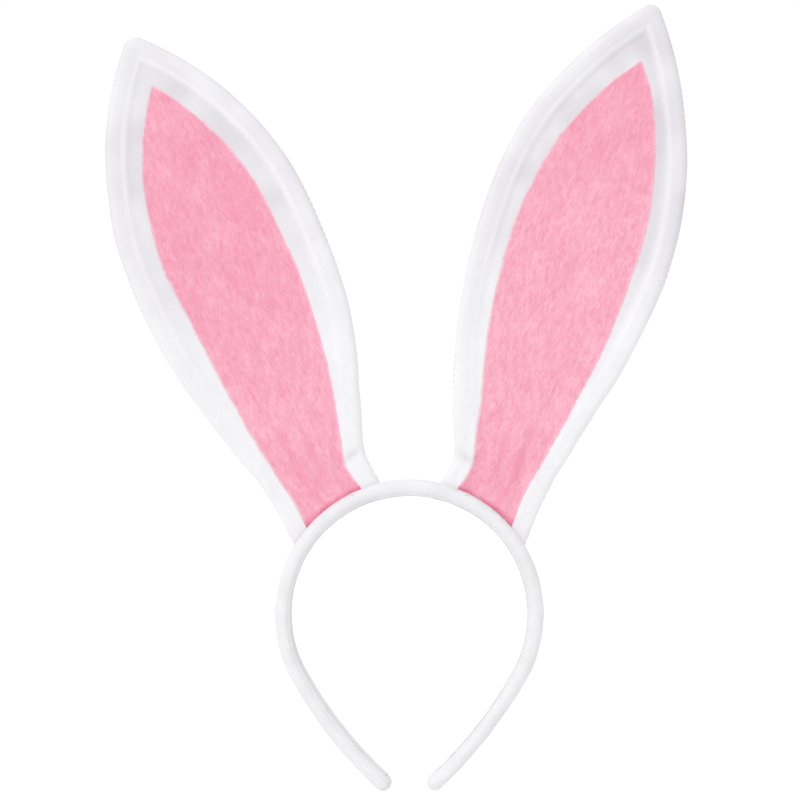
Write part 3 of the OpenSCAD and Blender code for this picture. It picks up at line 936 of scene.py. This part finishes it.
    def shell(self) -> Tube:
        """The white plush shell as a tube of rings from the root to the tip."""
        x, u, v, front = self.ring_grid()
        d = np.where(np.abs(v) > 0.99999, 0.0, self.depth_in(x, u))
        y = np.where(front, -self.half_thickness(x, u, d, True), self.half_thickness(x, u, d, False))
        y = y + self.puffed(x, y, u, d) * self.STUFFING.share * smooth(0.6, 4, d)
        y = y + self.bow(x, u)
        self.front_grid = (u, y)
        nap = np.stack([x, u, y], axis=-1)
        x = x + 0.5 * v * patches(np.sign(v) * 9, u, 0.0, 26, self.seed + 3) * smooth(20, 60, u)
        x = np.where(d == 0, x * (1 - 0.55 / np.maximum(np.abs(x), 2.0)), x)
        root_r, top = self.band.outer_r - self.size.shell_sunk, self.leaf.top
        middle = float(self.bow(np.array([0.0]), np.array([top]))[0])
        pole = self.pole(self.leaf, 0.0, middle, root_r)
        marks = self.painted_shell_shade(x, u, d, front)
        return Tube(self.place(x, y, u, root_r), nap, pole, np.array([[0.0, top, 0.0]]), marks)

    def painted_shell_shade(self, x: np.ndarray, u: np.ndarray, d: np.ndarray, front: np.ndarray) -> np.ndarray:
        """Painted shade on the white pile: along the groove, on the rim and at the outline, in the root's
        kink, on the outer side towards the tip, and a painted contact shadow by the band.
        """
        high = 0.15 + 0.85 * smooth(60, 165, u)
        # painted shade on the ear's outer side towards the tip
        outer_side_shade = self.size.shade.white * smooth(100, 170, u) * smooth(-30, 15, x)
        # painted shade along the groove, on the rim and at the outline
        groove = 0.75 * high * smooth(8.2, 11.5, d) * (1 - smooth(18, 22, d))
        groove = groove + 0.42 * high * (1 - smooth(6.6, 8.4, d))
        groove = np.where(front, groove + outer_side_shade, 0.12 * smooth(8.2, 11.5, d))
        groove = groove + 0.25 * high * (1 - smooth(0.2, 1.4, d))
        # painted shade in the root's kink, and a painted contact shadow at the foot by the band
        kink_shade = 0.45 * bump(-17, 9, x) * bump(17 - 0.25 * (x + 17), 2.2, u)
        foot = 0.25 * (1 - smooth(0, 7, u))
        patchy = 0.8 + 0.35 * patches(x, u, 0.0, 11, self.seed + 2)
        return painted_shade_and_thin_pile((groove + kink_shade + foot) * patchy)

    def front_depth(self, x: np.ndarray, u: np.ndarray) -> np.ndarray:
        """Depth of the shell's front face at any place, read from its grid."""
        gu, gy = (a[:, : self.COLUMNS] for a in self.front_grid)
        rows = gu[:, 0]
        at = np.clip(np.interp(u, rows, np.arange(len(rows))), 0, len(rows) - 1.001)
        low = np.floor(at).astype(int)
        part = at - low
        share = np.clip(x / np.maximum(self.leaf.half_width(u), 0.1), -1, 1)
        col = (np.arcsin(share) / (math.pi / 2) + 1) / 2 * (self.COLUMNS - 1)
        left = np.clip(np.floor(col).astype(int), 0, self.COLUMNS - 2)
        side = col - left
        pick = lambda r: gy[r, left] * (1 - side) + gy[r, left + 1] * side
        return pick(low) * (1 - part) + pick(low + 1) * part

    def pink_half(self, u: np.ndarray) -> np.ndarray:
        """Half the pink panel's width at any height."""
        drift = self.size.drift
        return self.pink.half_width(u) + drift.at(drift.pink_fuller, u) * smooth(0, 14, self.pink.top - u)

    def pink_panel(self) -> Tube:
        """The pink panel: a thin layer of plush on the shell's front, with a rounded edge."""
        s, top = self.size, self.pink.top
        ring, front = there_and_back(spread(65))
        u, v = np.meshgrid(self.pink.heights(0.0, 0.9, 1), ring, indexing="ij")
        x = self.pink_half(u) * v + s.drift.at(s.drift.pink, u)
        sides = 3 * np.sign(v)
        ragged = patches(sides, u, 0.0, 2.0, self.seed + 7) * 0.32
        wander = ragged + patches(sides, u, 0.0, 22.0, self.seed + 6) * 0.5
        x = x + wander * np.abs(v) ** 3 * smooth(3, 20, u)
        side_gap = (1 - np.abs(v)) * self.pink_half(u)
        gap = np.minimum(side_gap, (top - u) * 0.35)
        lift = s.pink_t * rounded(gap / 1.1)
        tuft = patches(x, u * 0.4, 0.0, 1.6, self.seed + 8) * 0.1 * smooth(0.3, 2.0, gap)
        y = self.front_depth(x, u) - np.where(front, lift + tuft, 0) + 0.25
        # painted contact shadow where the pink meets the band, and painted shade on the root's inner side
        foot = 1.2 * (1 - smooth(0.9, 2.9, u)) + 0.3 * (1 - smooth(2, 30, u)) * smooth(6, -14, x)
        # painted shade towards the tip
        foot = foot + s.shade.pink * smooth(s.shade.start, s.shade.end, u)
        # painted shade along two creases near the root
        crease_shade = 0.6 * bump(22, 15, u) * (bump(4, 2.2, x - 0.12 * u) + 0.6 * bump(-3, 2.0, x - 0.05 * u))
        painted_shade = (foot + crease_shade) * (0.8 + 0.4 * patches(x, u * 0.4, 0.0, 5, self.seed + 9))
        marks = painted_shade_and_thin_pile(painted_shade, 0.6 * (1 - smooth(0.1, 1.5, side_gap)) * smooth(1, 6, u))
        root_r = self.band.outer_r - s.pink_sunk
        aside = s.drift.at(s.drift.pink, np.array([top]))
        depth = self.front_depth(aside, np.array([top])) + 0.2
        pole = self.pole(self.pink, float(aside[0]), float(depth[0]), root_r)
        nap = np.stack([x, u, y], axis=-1)
        return Tube(self.place(x, y, u, root_r), nap, pole, np.array([[0.0, top, 0.0]]), marks)

    # ---- bending

    def bend_root(self, piece: bpy.types.Object) -> None:
        """Finds where the ear's root leaves the band and bakes the piece's placement into its mesh."""
        polar = math.radians(self.size.polar)
        line = Vector((self.size.side.value * math.sin(polar), 0.0, math.cos(polar)))
        middle = Vector((0.0, 0.0, -self.band.head_r))
        start, end = ((middle + line * (self.band.outer_r + rise)) * MM for rise in (0.1, 10.3))
        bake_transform(piece)
        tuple(start)
        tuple(end)

    def bend_fold(self, piece: bpy.types.Object) -> None:
        """Bakes the piece's placement into its mesh."""
        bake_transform(piece)

    def middle(self, u: float) -> tuple[float, float, float]:
        """A point on the ear's middle line, in metres."""
        flat = (self.base + u * self.up) * MM
        return self.size.side.value * float(flat[0]), 0.0, float(flat[1])

    # ---- pieces

    def in_two(self, tube: Tube, kinds: tuple[str, str], finish: Finish,
               nodes: Sequence[str]) -> tuple[bpy.types.Object, bpy.types.Object]:
        """Cuts a tube at the root's top, because a piece can bend across one joint only.

        Args:
            tube: the whole skin.
            kinds: the two pieces' names, after the ear's.
            finish: what they are made of.
            nodes: the frame's nodes that the upper piece stands for, after the side's word.

        Returns:
            The root's piece and the piece above it.
        """
        cut = int(np.argmin(np.abs(tube.nap[:, 0, 1] - self.size.root_top)))
        low, high = (mesh.object(f"{self.word}_ear_{kind}", finish, normals)
                     for kind, (mesh, normals) in zip(kinds, tube.pieces([cut])))
        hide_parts(*(f"{self.word}_{node}" for node in nodes))
        self.bend_root(low)
        self.bend_fold(high)
        return low, high

    def build_shell(self) -> None:
        """Makes the white shell in two pieces."""
        tube = self.shell()
        nodes = [f"{part}_{panel}_panel" for part in ("ear", "tip") for panel in ("front", "back")]
        low, high = self.in_two(tube, ("root_shell", "shell"), WHITE_PLUSH, nodes)
        log.info("%s ear shell: %d rings", self.word, len(tube.rings))

    def build_pink(self) -> None:
        """Makes the pink panel in two pieces and says what it was cut from."""
        tube = self.pink_panel()
        nodes = ("ear_pink_panel", "tip_pink_panel")
        low, high = self.in_two(tube, ("pink_root", "pink_face"), PINK_PLUSH, nodes)
        rows = tube.nap[:, 0, 1] * MM
        width = self.pink_half(tube.nap[:, 0, 1]) * 2 * MM
        cut = int(np.argmin(np.abs(rows - self.size.root_top * MM)))
        under = self.size.turned_under * MM
        face = float(np.trapz(width[cut:], rows[cut:]))
        root = float(np.trapz(width[:cut + 1], rows[:cut + 1])) + float(width[0]) * under * 0.9
        log.info("%s pink panel: %.0f by %.0f mm", self.word, width.max() / MM, self.pink.top)

    def build_edge_stitches(self) -> None:
        """Makes the small stitches that close the two panels along their edge."""
        s = self.size
        u = self.leaf.heights(0.0, 0.5, 1)
        line = np.vstack([np.stack([self.leaf.half_width(u), u], axis=1), [[0.0, self.leaf.top]]])
        full = np.vstack([line, line[-2::-1] * [-1, 1]])
        along = np.concatenate([[0], np.cumsum(np.linalg.norm(np.diff(full, axis=0), axis=1))])
        share = np.linspace(0, 1, 6)
        drawn = 0.3 * np.sin(share * math.pi) - s.stitch_inset
        low: list[Mesh] = []
        high: list[Mesh] = []
        for k, start in enumerate(np.arange(1.5, along[-1] - 3.5, s.stitch_pitch)):
            at = start + share * s.stitch_len
            spots = np.stack([np.interp(at, along, full[:, 0]), np.interp(at, along, full[:, 1])], axis=1)
            out = spots - [0.0, s.stitch_centre]
            out /= np.linalg.norm(out, axis=1)[:, None]
            x, up = (spots + out * drawn[:, None]).T
            depth = self.bow(x, up) + 0.35 * (2 * share - 1)
            path = self.place(x, depth, up, self.band.outer_r - s.shell_sunk) / MM
            one = strand(path, s.thread_r, 8, 0.25, 3.0 * k, lobes=0.25, turns=1.5)
            (low if up.max() < s.root_top else high).append(one)
        root = joined(low).object(f"{self.word}_ear_root_edge_stitches", THREAD)
        rest = joined(high).object(f"{self.word}_ear_edge_stitches", THREAD)
        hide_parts(f"{self.word}_ear_edge_seam", f"{self.word}_tip_edge_seam")
        self.bend_root(root)
        self.bend_fold(rest)
        log.info("%s edge: %d stitches", self.word, len(low) + len(high))

    def build_foam(self) -> None:
        """Makes the foam plate inside the ear."""
        s = self.size
        leaf = self.leaf.inset(s.foam_inset, s.foam_tip_r)
        ring, front = there_and_back(spread(25))
        u, v = np.meshgrid(leaf.heights(s.wire_run_at + s.wire_bend_r, 3.0, 1), ring, indexing="ij")
        x = leaf.half_width(u) * v
        edge = rounded((1 - np.abs(v)) * leaf.half_width(u) / 1.2)
        thin = np.minimum(1.0, 0.62 + u / 90)
        y = np.where(front, -1.0, 1.0) * s.foam_half_t * edge * thin * 0.9 + self.bow(x, u)
        middle = float(self.bow(np.array([0.0]), np.array([leaf.top]))[0])
        pole = self.pole(leaf, 0.0, middle, self.band.outer_r)
        nap = np.stack([x, u, y], axis=-1)
        tube = Tube(self.place(x, y, u, self.band.outer_r), nap, pole, np.array([[0.0, leaf.top, 0.0]]))
        (mesh, normals), = tube.pieces([])
        piece = mesh.object(f"{self.word}_ear_foam_plate", FOAM, normals)
        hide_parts(f"{self.word}_ear_foam", f"{self.word}_tip_foam")
        self.bend_fold(piece)

    def build_wire(self) -> None:
        """Makes the frame wire, which runs round inside the rim and ends in the ferrule."""
        s = self.size
        leaf = self.leaf.inset(s.wire_inset, s.wire_tip_r)
        nx, nz = leaf.neck + leaf.neck_r, leaf.neck_at
        cz = s.wire_run_at + s.wire_bend_r
        cx = nx - math.sqrt((leaf.neck_r + s.wire_bend_r) ** 2 - (cz - nz) ** 2)
        turn = math.asin((cz - nz) / (leaf.neck_r + s.wire_bend_r))
        bend = np.linspace(-math.pi / 2, -turn, 9)
        corner = np.stack([cx + s.wire_bend_r * np.cos(bend), cz + s.wire_bend_r * np.sin(bend)], axis=1)
        u = leaf.heights(float(corner[-1, 1]) + 1.0, 2.5, 1)
        side = np.stack([leaf.half_width(u), u], axis=1)
        run = np.stack([np.linspace(0.3, cx - 0.5, 10), np.full(10, s.wire_run_at)], axis=1)
        half = np.vstack([run, corner, side])
        x, up = np.vstack([half, [[0.0, leaf.top]], half[::-1] * [-1, 1]]).T
        share = np.clip(x / self.leaf.half_width(up), -1, 1)
        x = x + self.shift(share, up) * np.clip(np.abs(x) / 15, 0, 1) ** 2
        flat = self.base + x[:, None] * self.across + up[:, None] * self.up
        line = np.stack([s.side.value * flat[:, 0], self.bow(x, up), flat[:, 1]], axis=1)
        piece = strand(line, s.wire_r, 10, 0.57).object(f"{self.word}_ear_frame_wire", WIRE)
        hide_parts(f"{self.word}_ear_wire", f"{self.word}_tip_wire")
        self.bend_fold(piece)

    def build(self) -> None:
        """Builds and dresses the whole ear."""
        self.build_shell()
        self.build_pink()
        self.build_edge_stitches()
        self.build_foam()
        self.build_wire()
        FERRULE.dress(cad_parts[f"{self.word}_ear_wire_ferrule"])


# ---------------------------------------------------------------- band


@dataclass(frozen=True)
class BandSize:
    """The figures of the band, in millimetres and degrees."""

    head_r: float = 56.2
    thick: float = 7.6
    wide: float = 12.0
    half_angle: float = 119.0
    arm_r: float = 200.0
    arm_len: float = 69.0
    bulge: float = 0.35
    lining_w: float = 5.6
    lining_t: float = 0.8
    flex_polar: float = 64.871
    ease_in: float = 12.0
    ease_out: float = 26.0
    thread_r: float = 0.26

    @property
    def mid_r(self) -> float:
        """Radius of the hoop's middle line."""
        return self.head_r + self.thick / 2

    @property
    def outer_r(self) -> float:
        """Radius of the hoop's outer face."""
        return self.head_r + self.thick

    @property
    def hoop_len(self) -> float:
        """Length of half the hoop along its middle line."""
        return math.radians(self.half_angle) * self.mid_r

    @property
    def half_len(self) -> float:
        """Length from the crown to the tip of a rounded end."""
        return self.hoop_len + self.arm_len

    @property
    def flex_at(self) -> float:
        """Distance from the crown to the flex line."""
        return math.radians(self.flex_polar) * self.mid_r


class Band:
    """The plush-covered sprung band: its covers, lining and tacking stitches."""

    SIDES = 64
    LOOPS = 5

    def __init__(self, size: BandSize) -> None:
        """Sets up the band."""
        self.size = size

    def line(self, s: np.ndarray) -> tuple[np.ndarray, np.ndarray]:
        """The middle line and the outward direction, in the X and Z plane.

        Args:
            s: distance from the crown, towards the right above zero.

        Returns:
            The points and the unit directions outwards, in millimetres.
        """
        z = self.size
        far, side = np.abs(s), np.where(s < 0, -1.0, 1.0)
        join = math.radians(z.half_angle)
        hoop = np.minimum(far, z.hoop_len) / z.mid_r
        arm = np.maximum(far - z.hoop_len, 0) / z.arm_r
        angle = hoop + arm
        out = np.stack([np.sin(angle), np.cos(angle)], axis=-1)
        corner = np.array([math.sin(join), math.cos(join)])
        centre = np.where((far > z.hoop_len)[:, None], corner * (z.mid_r - z.arm_r), 0.0)
        radius = np.where(far > z.hoop_len, z.arm_r, z.mid_r)
        p = centre + out * radius[:, None]
        flip = np.stack([side, np.ones_like(side)], axis=-1)
        return p * flip - [0, z.head_r], out * flip

    def twist(self, s: np.ndarray) -> np.ndarray:
        """How far the band turns about its own line, in radians."""
        left = math.radians(9) * smooth(70, 150, -s)
        right = math.radians(-4) * smooth(70, 150, s)
        return left + right

    def section(self) -> np.ndarray:
        """The band's section: outwards and across."""
        z = self.size
        r, flat = z.thick / 2, (z.wide - z.thick) / 2
        a = np.arange(self.SIDES) * 2 * math.pi / self.SIDES
        out, across = r * np.cos(a), r * np.sin(a) + flat * np.tanh(3.2 * np.sin(a)) / np.tanh(3.2)
        return np.stack([out, across], axis=1)

    def wound(self, s: np.ndarray, outwards: np.ndarray, across: np.ndarray) -> np.ndarray:
        """Rings round the band's line, turned with its twist.

        Args:
            s: distance from the crown, one for each ring.
            outwards: how far out each of a ring's points lies.
            across: how far back it lies.

        Returns:
            The rings, with shape (ring, point, 3), in metres.
        """
        p, out = self.line(s)
        turn = self.twist(s)[:, None]
        radial = outwards * np.cos(turn) - across * np.sin(turn)
        depth = outwards * np.sin(turn) + across * np.cos(turn)
        x, z = (p[:, None, k] + out[:, None, k] * radial for k in (0, 1))
        return np.stack([x, depth, z], axis=-1) * MM

    def skin(self) -> tuple[Tube, np.ndarray]:
        """The whole cover as a tube from the left end to the right end, and its distances."""
        z = self.size
        end_r = z.thick / 2 + z.bulge
        body = z.half_len - end_r
        cap = np.sin(np.linspace(0, math.radians(84), 9)[1:]) * end_r
        run = np.linspace(-body, body, int(2 * body / 1.1))
        s = np.concatenate([-body - cap[::-1], run, body + cap])
        over = np.maximum(np.abs(s) - body, 0) / end_r
        size = np.sqrt(np.maximum(1 - over**2, 0))
        swell = 1 + (z.bulge / (z.thick / 2)) * smooth(body - 22, body, np.abs(s)) * np.where(s < 0, 0.2, 0.9)
        slim = 1 - 0.05 * smooth(110, 150, s)
        out, across = self.section().T
        angle = np.arange(self.SIDES) * 2 * math.pi / self.SIDES
        far = s[:, None]
        rough = 0.16 * patches(out + 9, far, across, 7, 41) + 0.1 * patches(out + 9, far, across, 3, 42)
        seam = 1 - 0.07 * bump(math.radians(228), 0.09, angle)
        grow = size[:, None] * (swell * slim)[:, None] * (1 + rough / (z.thick / 2)) * seam
        nap = np.stack(np.broadcast_arrays(out * grow, far, across * grow), axis=-1)
        return Tube(self.wound(s, out * grow, across * grow), nap), s

    def flex_point(self, side: Side, along: float) -> tuple[float, float, float]:
        """A point near the flex line, a distance further along the band's line there."""
        z = self.size
        polar = math.radians(z.flex_polar)
        x = z.mid_r * math.sin(polar) + along * math.cos(polar)
        h = z.mid_r * math.cos(polar) - along * math.sin(polar) - z.head_r
        return side.value * x * MM, 0.0, h * MM

    def bend_arm(self, piece: bpy.types.Object, side: Side) -> None:
        """Finds the flex line's easing points and bakes the piece's placement into its mesh."""
        self.flex_point(side, -self.size.ease_in)
        self.flex_point(side, self.size.ease_out)
        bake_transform(piece)

    def in_three(self, tube: Tube, s: np.ndarray, kind: str, finish: Finish,
                 nodes: Sequence[str]) -> list[bpy.types.Object]:
        """Cuts a skin near the two flex lines, into the crown's piece and each arm's piece.

        Args:
            tube: the whole skin.
            s: its rings' distances from the crown.
            kind: the pieces' name, after the crown's or the arm's.
            finish: what they are made of.
            nodes: the frame's nodes that they stand for, after the crown's or the arm's name.

        Returns:
            The crown's piece, the left arm's and the right arm's.
        """
        edge = self.size.flex_at - self.size.ease_in - 0.5
        cuts = [int(np.argmin(np.abs(s + edge))), int(np.argmin(np.abs(s - edge)))]
        left, crown, right = tube.pieces(cuts)
        made = []
        for side, (mesh, normals) in ((None, crown), (Side.LEFT, left), (Side.RIGHT, right)):
            place = "crown" if side is None else f"{side.word}_arm"
            piece = mesh.object(f"{place}_{kind}", finish, normals)
            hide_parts(*(f"{place}_{n}" for n in nodes if f"{place}_{n}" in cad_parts))
            if side is None:
                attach(piece, "headband")
            else:
                self.bend_arm(piece, side)
            made.append(piece)
        return made

    def build_covers(self) -> None:
        """Makes the cover in three pieces: the crown and the two arms with their rounded ends."""
        tube, s = self.skin()
        for piece in self.in_three(tube, s, "cover", BAND_PLUSH, ("sleeve", "end_cap")):
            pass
        log.info("band cover: %d points", len(tube.rings) * self.SIDES)

    def tape(self) -> tuple[Tube, np.ndarray]:
        """The whole lining tape on the inner face, from end to end, and its distances from the crown."""
        z = self.size
        end = z.half_len - z.thick / 2 - z.bulge - 1.0
        s = np.linspace(-end, end, int(2 * end / 1.2))
        w = z.lining_w / 2
        ring, inner = there_and_back(np.linspace(-1, 1, 13))
        across = ring * w
        edge = rounded((w - np.abs(across)) / 0.5)
        face = -z.thick / 2 - 0.08
        out = np.where(inner, face - 0.12 * edge, face + z.lining_t - 0.2)
        out = out[None, :] + 0.07 * patches(across, s[:, None], 0.0, 5, 51)
        nap = np.stack(np.broadcast_arrays(across, s[:, None], out), axis=-1)
        return Tube(self.wound(s, out, across), nap), s

    def build_lining(self) -> None:
        """Makes the lining tape in three lengths that meet without a step."""
        tube, s = self.tape()
        self.in_three(tube, s, "lining_tape", TAPE, ("lining",))

    def build_stitches(self, polar: float, neck: float) -> None:
        """Makes the tacking stitches that hold each ear's base to the cover."""
        z = self.size
        span = math.degrees(neck * 1.3 / z.outer_r)
        reach = z.thick / 2
        for side in Side:
            loops: list[Mesh] = []
            for i, face in itertools.product(range(self.LOOPS), (-1, 1)):
                start = 15 if face > 0 else -50
                a = np.radians(np.linspace(start, start + 35, 12))
                r, depth = z.mid_r + reach * np.cos(a), face * (z.wide - z.thick) / 2 + reach * np.sin(a)
                lean = math.radians(7 if i % 2 else -5) * np.linspace(-1, 1, 12)
                angle = math.radians(polar + span * (i / (self.LOOPS - 1) - 0.5)) + lean * 0.2
                path = np.stack([side.value * r * np.sin(angle), depth, r * np.cos(angle) - z.head_r], axis=1)
                loops.append(strand(path, z.thread_r, 8, 0.27, 4.0 * i, lobes=0.3, turns=2.5))
            piece = joined(loops).object(f"{side.word}_ear_tacking", THREAD)
            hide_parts(f"{side.word}_tacking_stitches")
            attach(piece, "headband")

    def build(self, polar: float, neck: float) -> None:
        """Builds and dresses the whole band."""
        self.build_covers()
        self.build_lining()
        self.build_stitches(polar, neck)
        for name in ("crown_core", "left_arm_core", "right_arm_core"):
            CORE.dress(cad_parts[name])


# ---------------------------------------------------------------- studio


@dataclass(frozen=True)
class Lamp:
    """A soft light that shines from one direction, with its spread in degrees."""

    name: str
    towards: tuple[float, float, float]
    strength: float
    spread: float

    def hang(self) -> None:
        """Adds the light."""
        data = bpy.data.lights.new(self.name, "SUN")
        data.energy = self.strength
        data.angle = math.radians(self.spread)
        lamp = bpy.data.objects.new(self.name, data)
        lamp.rotation_euler = Vector(self.towards).to_track_quat("-Z", "Y").to_euler()
        bpy.context.scene.collection.objects.link(lamp)


@dataclass(frozen=True)
class Studio:
    """The pale floor, the soft light and the camera, in metres."""

    floor_at: float = -0.156
    floor_side: float = 9.0
    aim: tuple[float, float, float] = (-0.0045, 0.0, 0.04545)
    away: float = 1.2
    sensor_w: float = 36.0
    view_width: float = 0.38
    surround: float = 0.92
    backdrop: float = 1.02
    lamps: tuple[Lamp, ...] = (Lamp("key", (0.55, 0.62, -0.62), 0.8, 28.0),
                               Lamp("top", (0.05, 0.1, -1.0), 0.45, 60.0))

    def floor(self) -> None:
        """Lays the floor and tells the frame that it is only staging."""
        h = self.floor_side / 2
        data = bpy.data.meshes.new("floor")
        data.from_pydata([(-h, -h, 0), (h, -h, 0), (h, h, 0), (-h, h, 0)], [], [(0, 1, 2, 3)])
        data.materials.append(FLOOR.material())
        piece = bpy.data.objects.new("floor", data)
        piece.location.z = self.floor_at
        bpy.context.scene.collection.objects.link(piece)
        piece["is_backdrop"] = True

    def world(self) -> None:
        """An even pale surround, a little brighter where it is seen directly."""
        made = bpy.data.worlds.new("surround")
        bpy.context.scene.world = made
        made.use_nodes = True
        g = Graph(made.node_tree)
        light = g.add("Background", {"Color": (0.98, 0.985, 1.0, 1.0), "Strength": self.surround})
        seen = g.add("Background", {"Color": (1.0, 1.0, 1.0, 1.0), "Strength": self.backdrop})
        ray = g.add("LightPath").outputs["Is Camera Ray"]
        both = g.add("MixShader", {0: ray, 1: light.outputs[0], 2: seen.outputs[0]})
        g.add("OutputWorld", {"Surface": both.outputs[0]})

    def camera(self) -> None:
        """Stands the camera straight in front, level with the part's middle."""
        data = bpy.data.cameras.new("camera")
        data.sensor_width = self.sensor_w
        data.lens = self.sensor_w * self.away / self.view_width
        data.clip_end = 50.0
        shot = bpy.data.objects.new("camera", data)
        shot.location = Vector(self.aim) + Vector((0.0, -self.away, 0.0))
        shot.rotation_euler = (Vector(self.aim) - shot.location).to_track_quat("-Z", "Y").to_euler()
        bpy.context.scene.collection.objects.link(shot)
        bpy.context.scene.camera = shot

    def build(self) -> None:
        """Sets up the whole studio."""
        self.floor()
        self.world()
        for lamp in self.lamps:
            lamp.hang()
        self.camera()
        scene = bpy.context.scene
        scene.view_settings.view_transform = "Standard"
        scene.view_settings.look = "None"


LEFT_EAR = EarSize(
    Side.LEFT, lean=24.0, length=242.6, pink_length=216.2, shade=Shade(0.24, 30.0, 120.0, 0.0),
    drift=Drift(inner=(-0.6, 1.8, 1.8, 1.9, 0.6, -0.3, 0.2, -0.4, -0.3),
                outer=(5.0, 6.0, 4.2, 3.1, 2.4, 2.1, 1.3, 0.1, 0.6),
                pink=(0.3, 0.8, 0.9, 0.2, 0.1, 0.1, 0.5, 1.2, -0.1),
                pink_fuller=(0.0, -0.4, -0.5, -0.4, -1.1, -1.8, -1.2, 0.5, 0.3)))
RIGHT_EAR = EarSize(
    Side.RIGHT, lean=19.5, length=251.8, pink_length=222.5, shade=Shade(0.24, 140.0, 190.0, 0.34),
    drift=Drift(inner=(0.2, 4.0, 2.9, 3.0, 2.6, 2.2, 0.9, -1.2, -1.5),
                outer=(4.2, 5.0, 2.9, 0.5, -0.6, -0.6, 0.4, -0.8, -1.3),
                pink=(-0.2, -0.6, 0.6, 1.9, 2.0, 0.8, -0.1, 1.3, 2.6),
                pink_fuller=(0.0, -0.4, -0.8, -0.6, 0.0, 1.3, 0.9, 1.6, 1.4)))


def main() -> None:
    """Builds every piece in order and measures the bounds before and after."""
    logging.basicConfig(level=logging.INFO, format="%(message)s")
    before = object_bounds()
    Studio().build()
    band = BandSize()
    Band(band).build(LEFT_EAR.polar, LEFT_EAR.neck)
    for size in (LEFT_EAR, RIGHT_EAR):
        Ear(size, band).build()
        log.info("%s ear built", size.side.word)
    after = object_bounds()
    plain = lambda box: [[float(c) for c in corner] for corner in box]
    {"cad": plain(before), "visual": plain(after)}


if __name__ == "__main__":
    main()
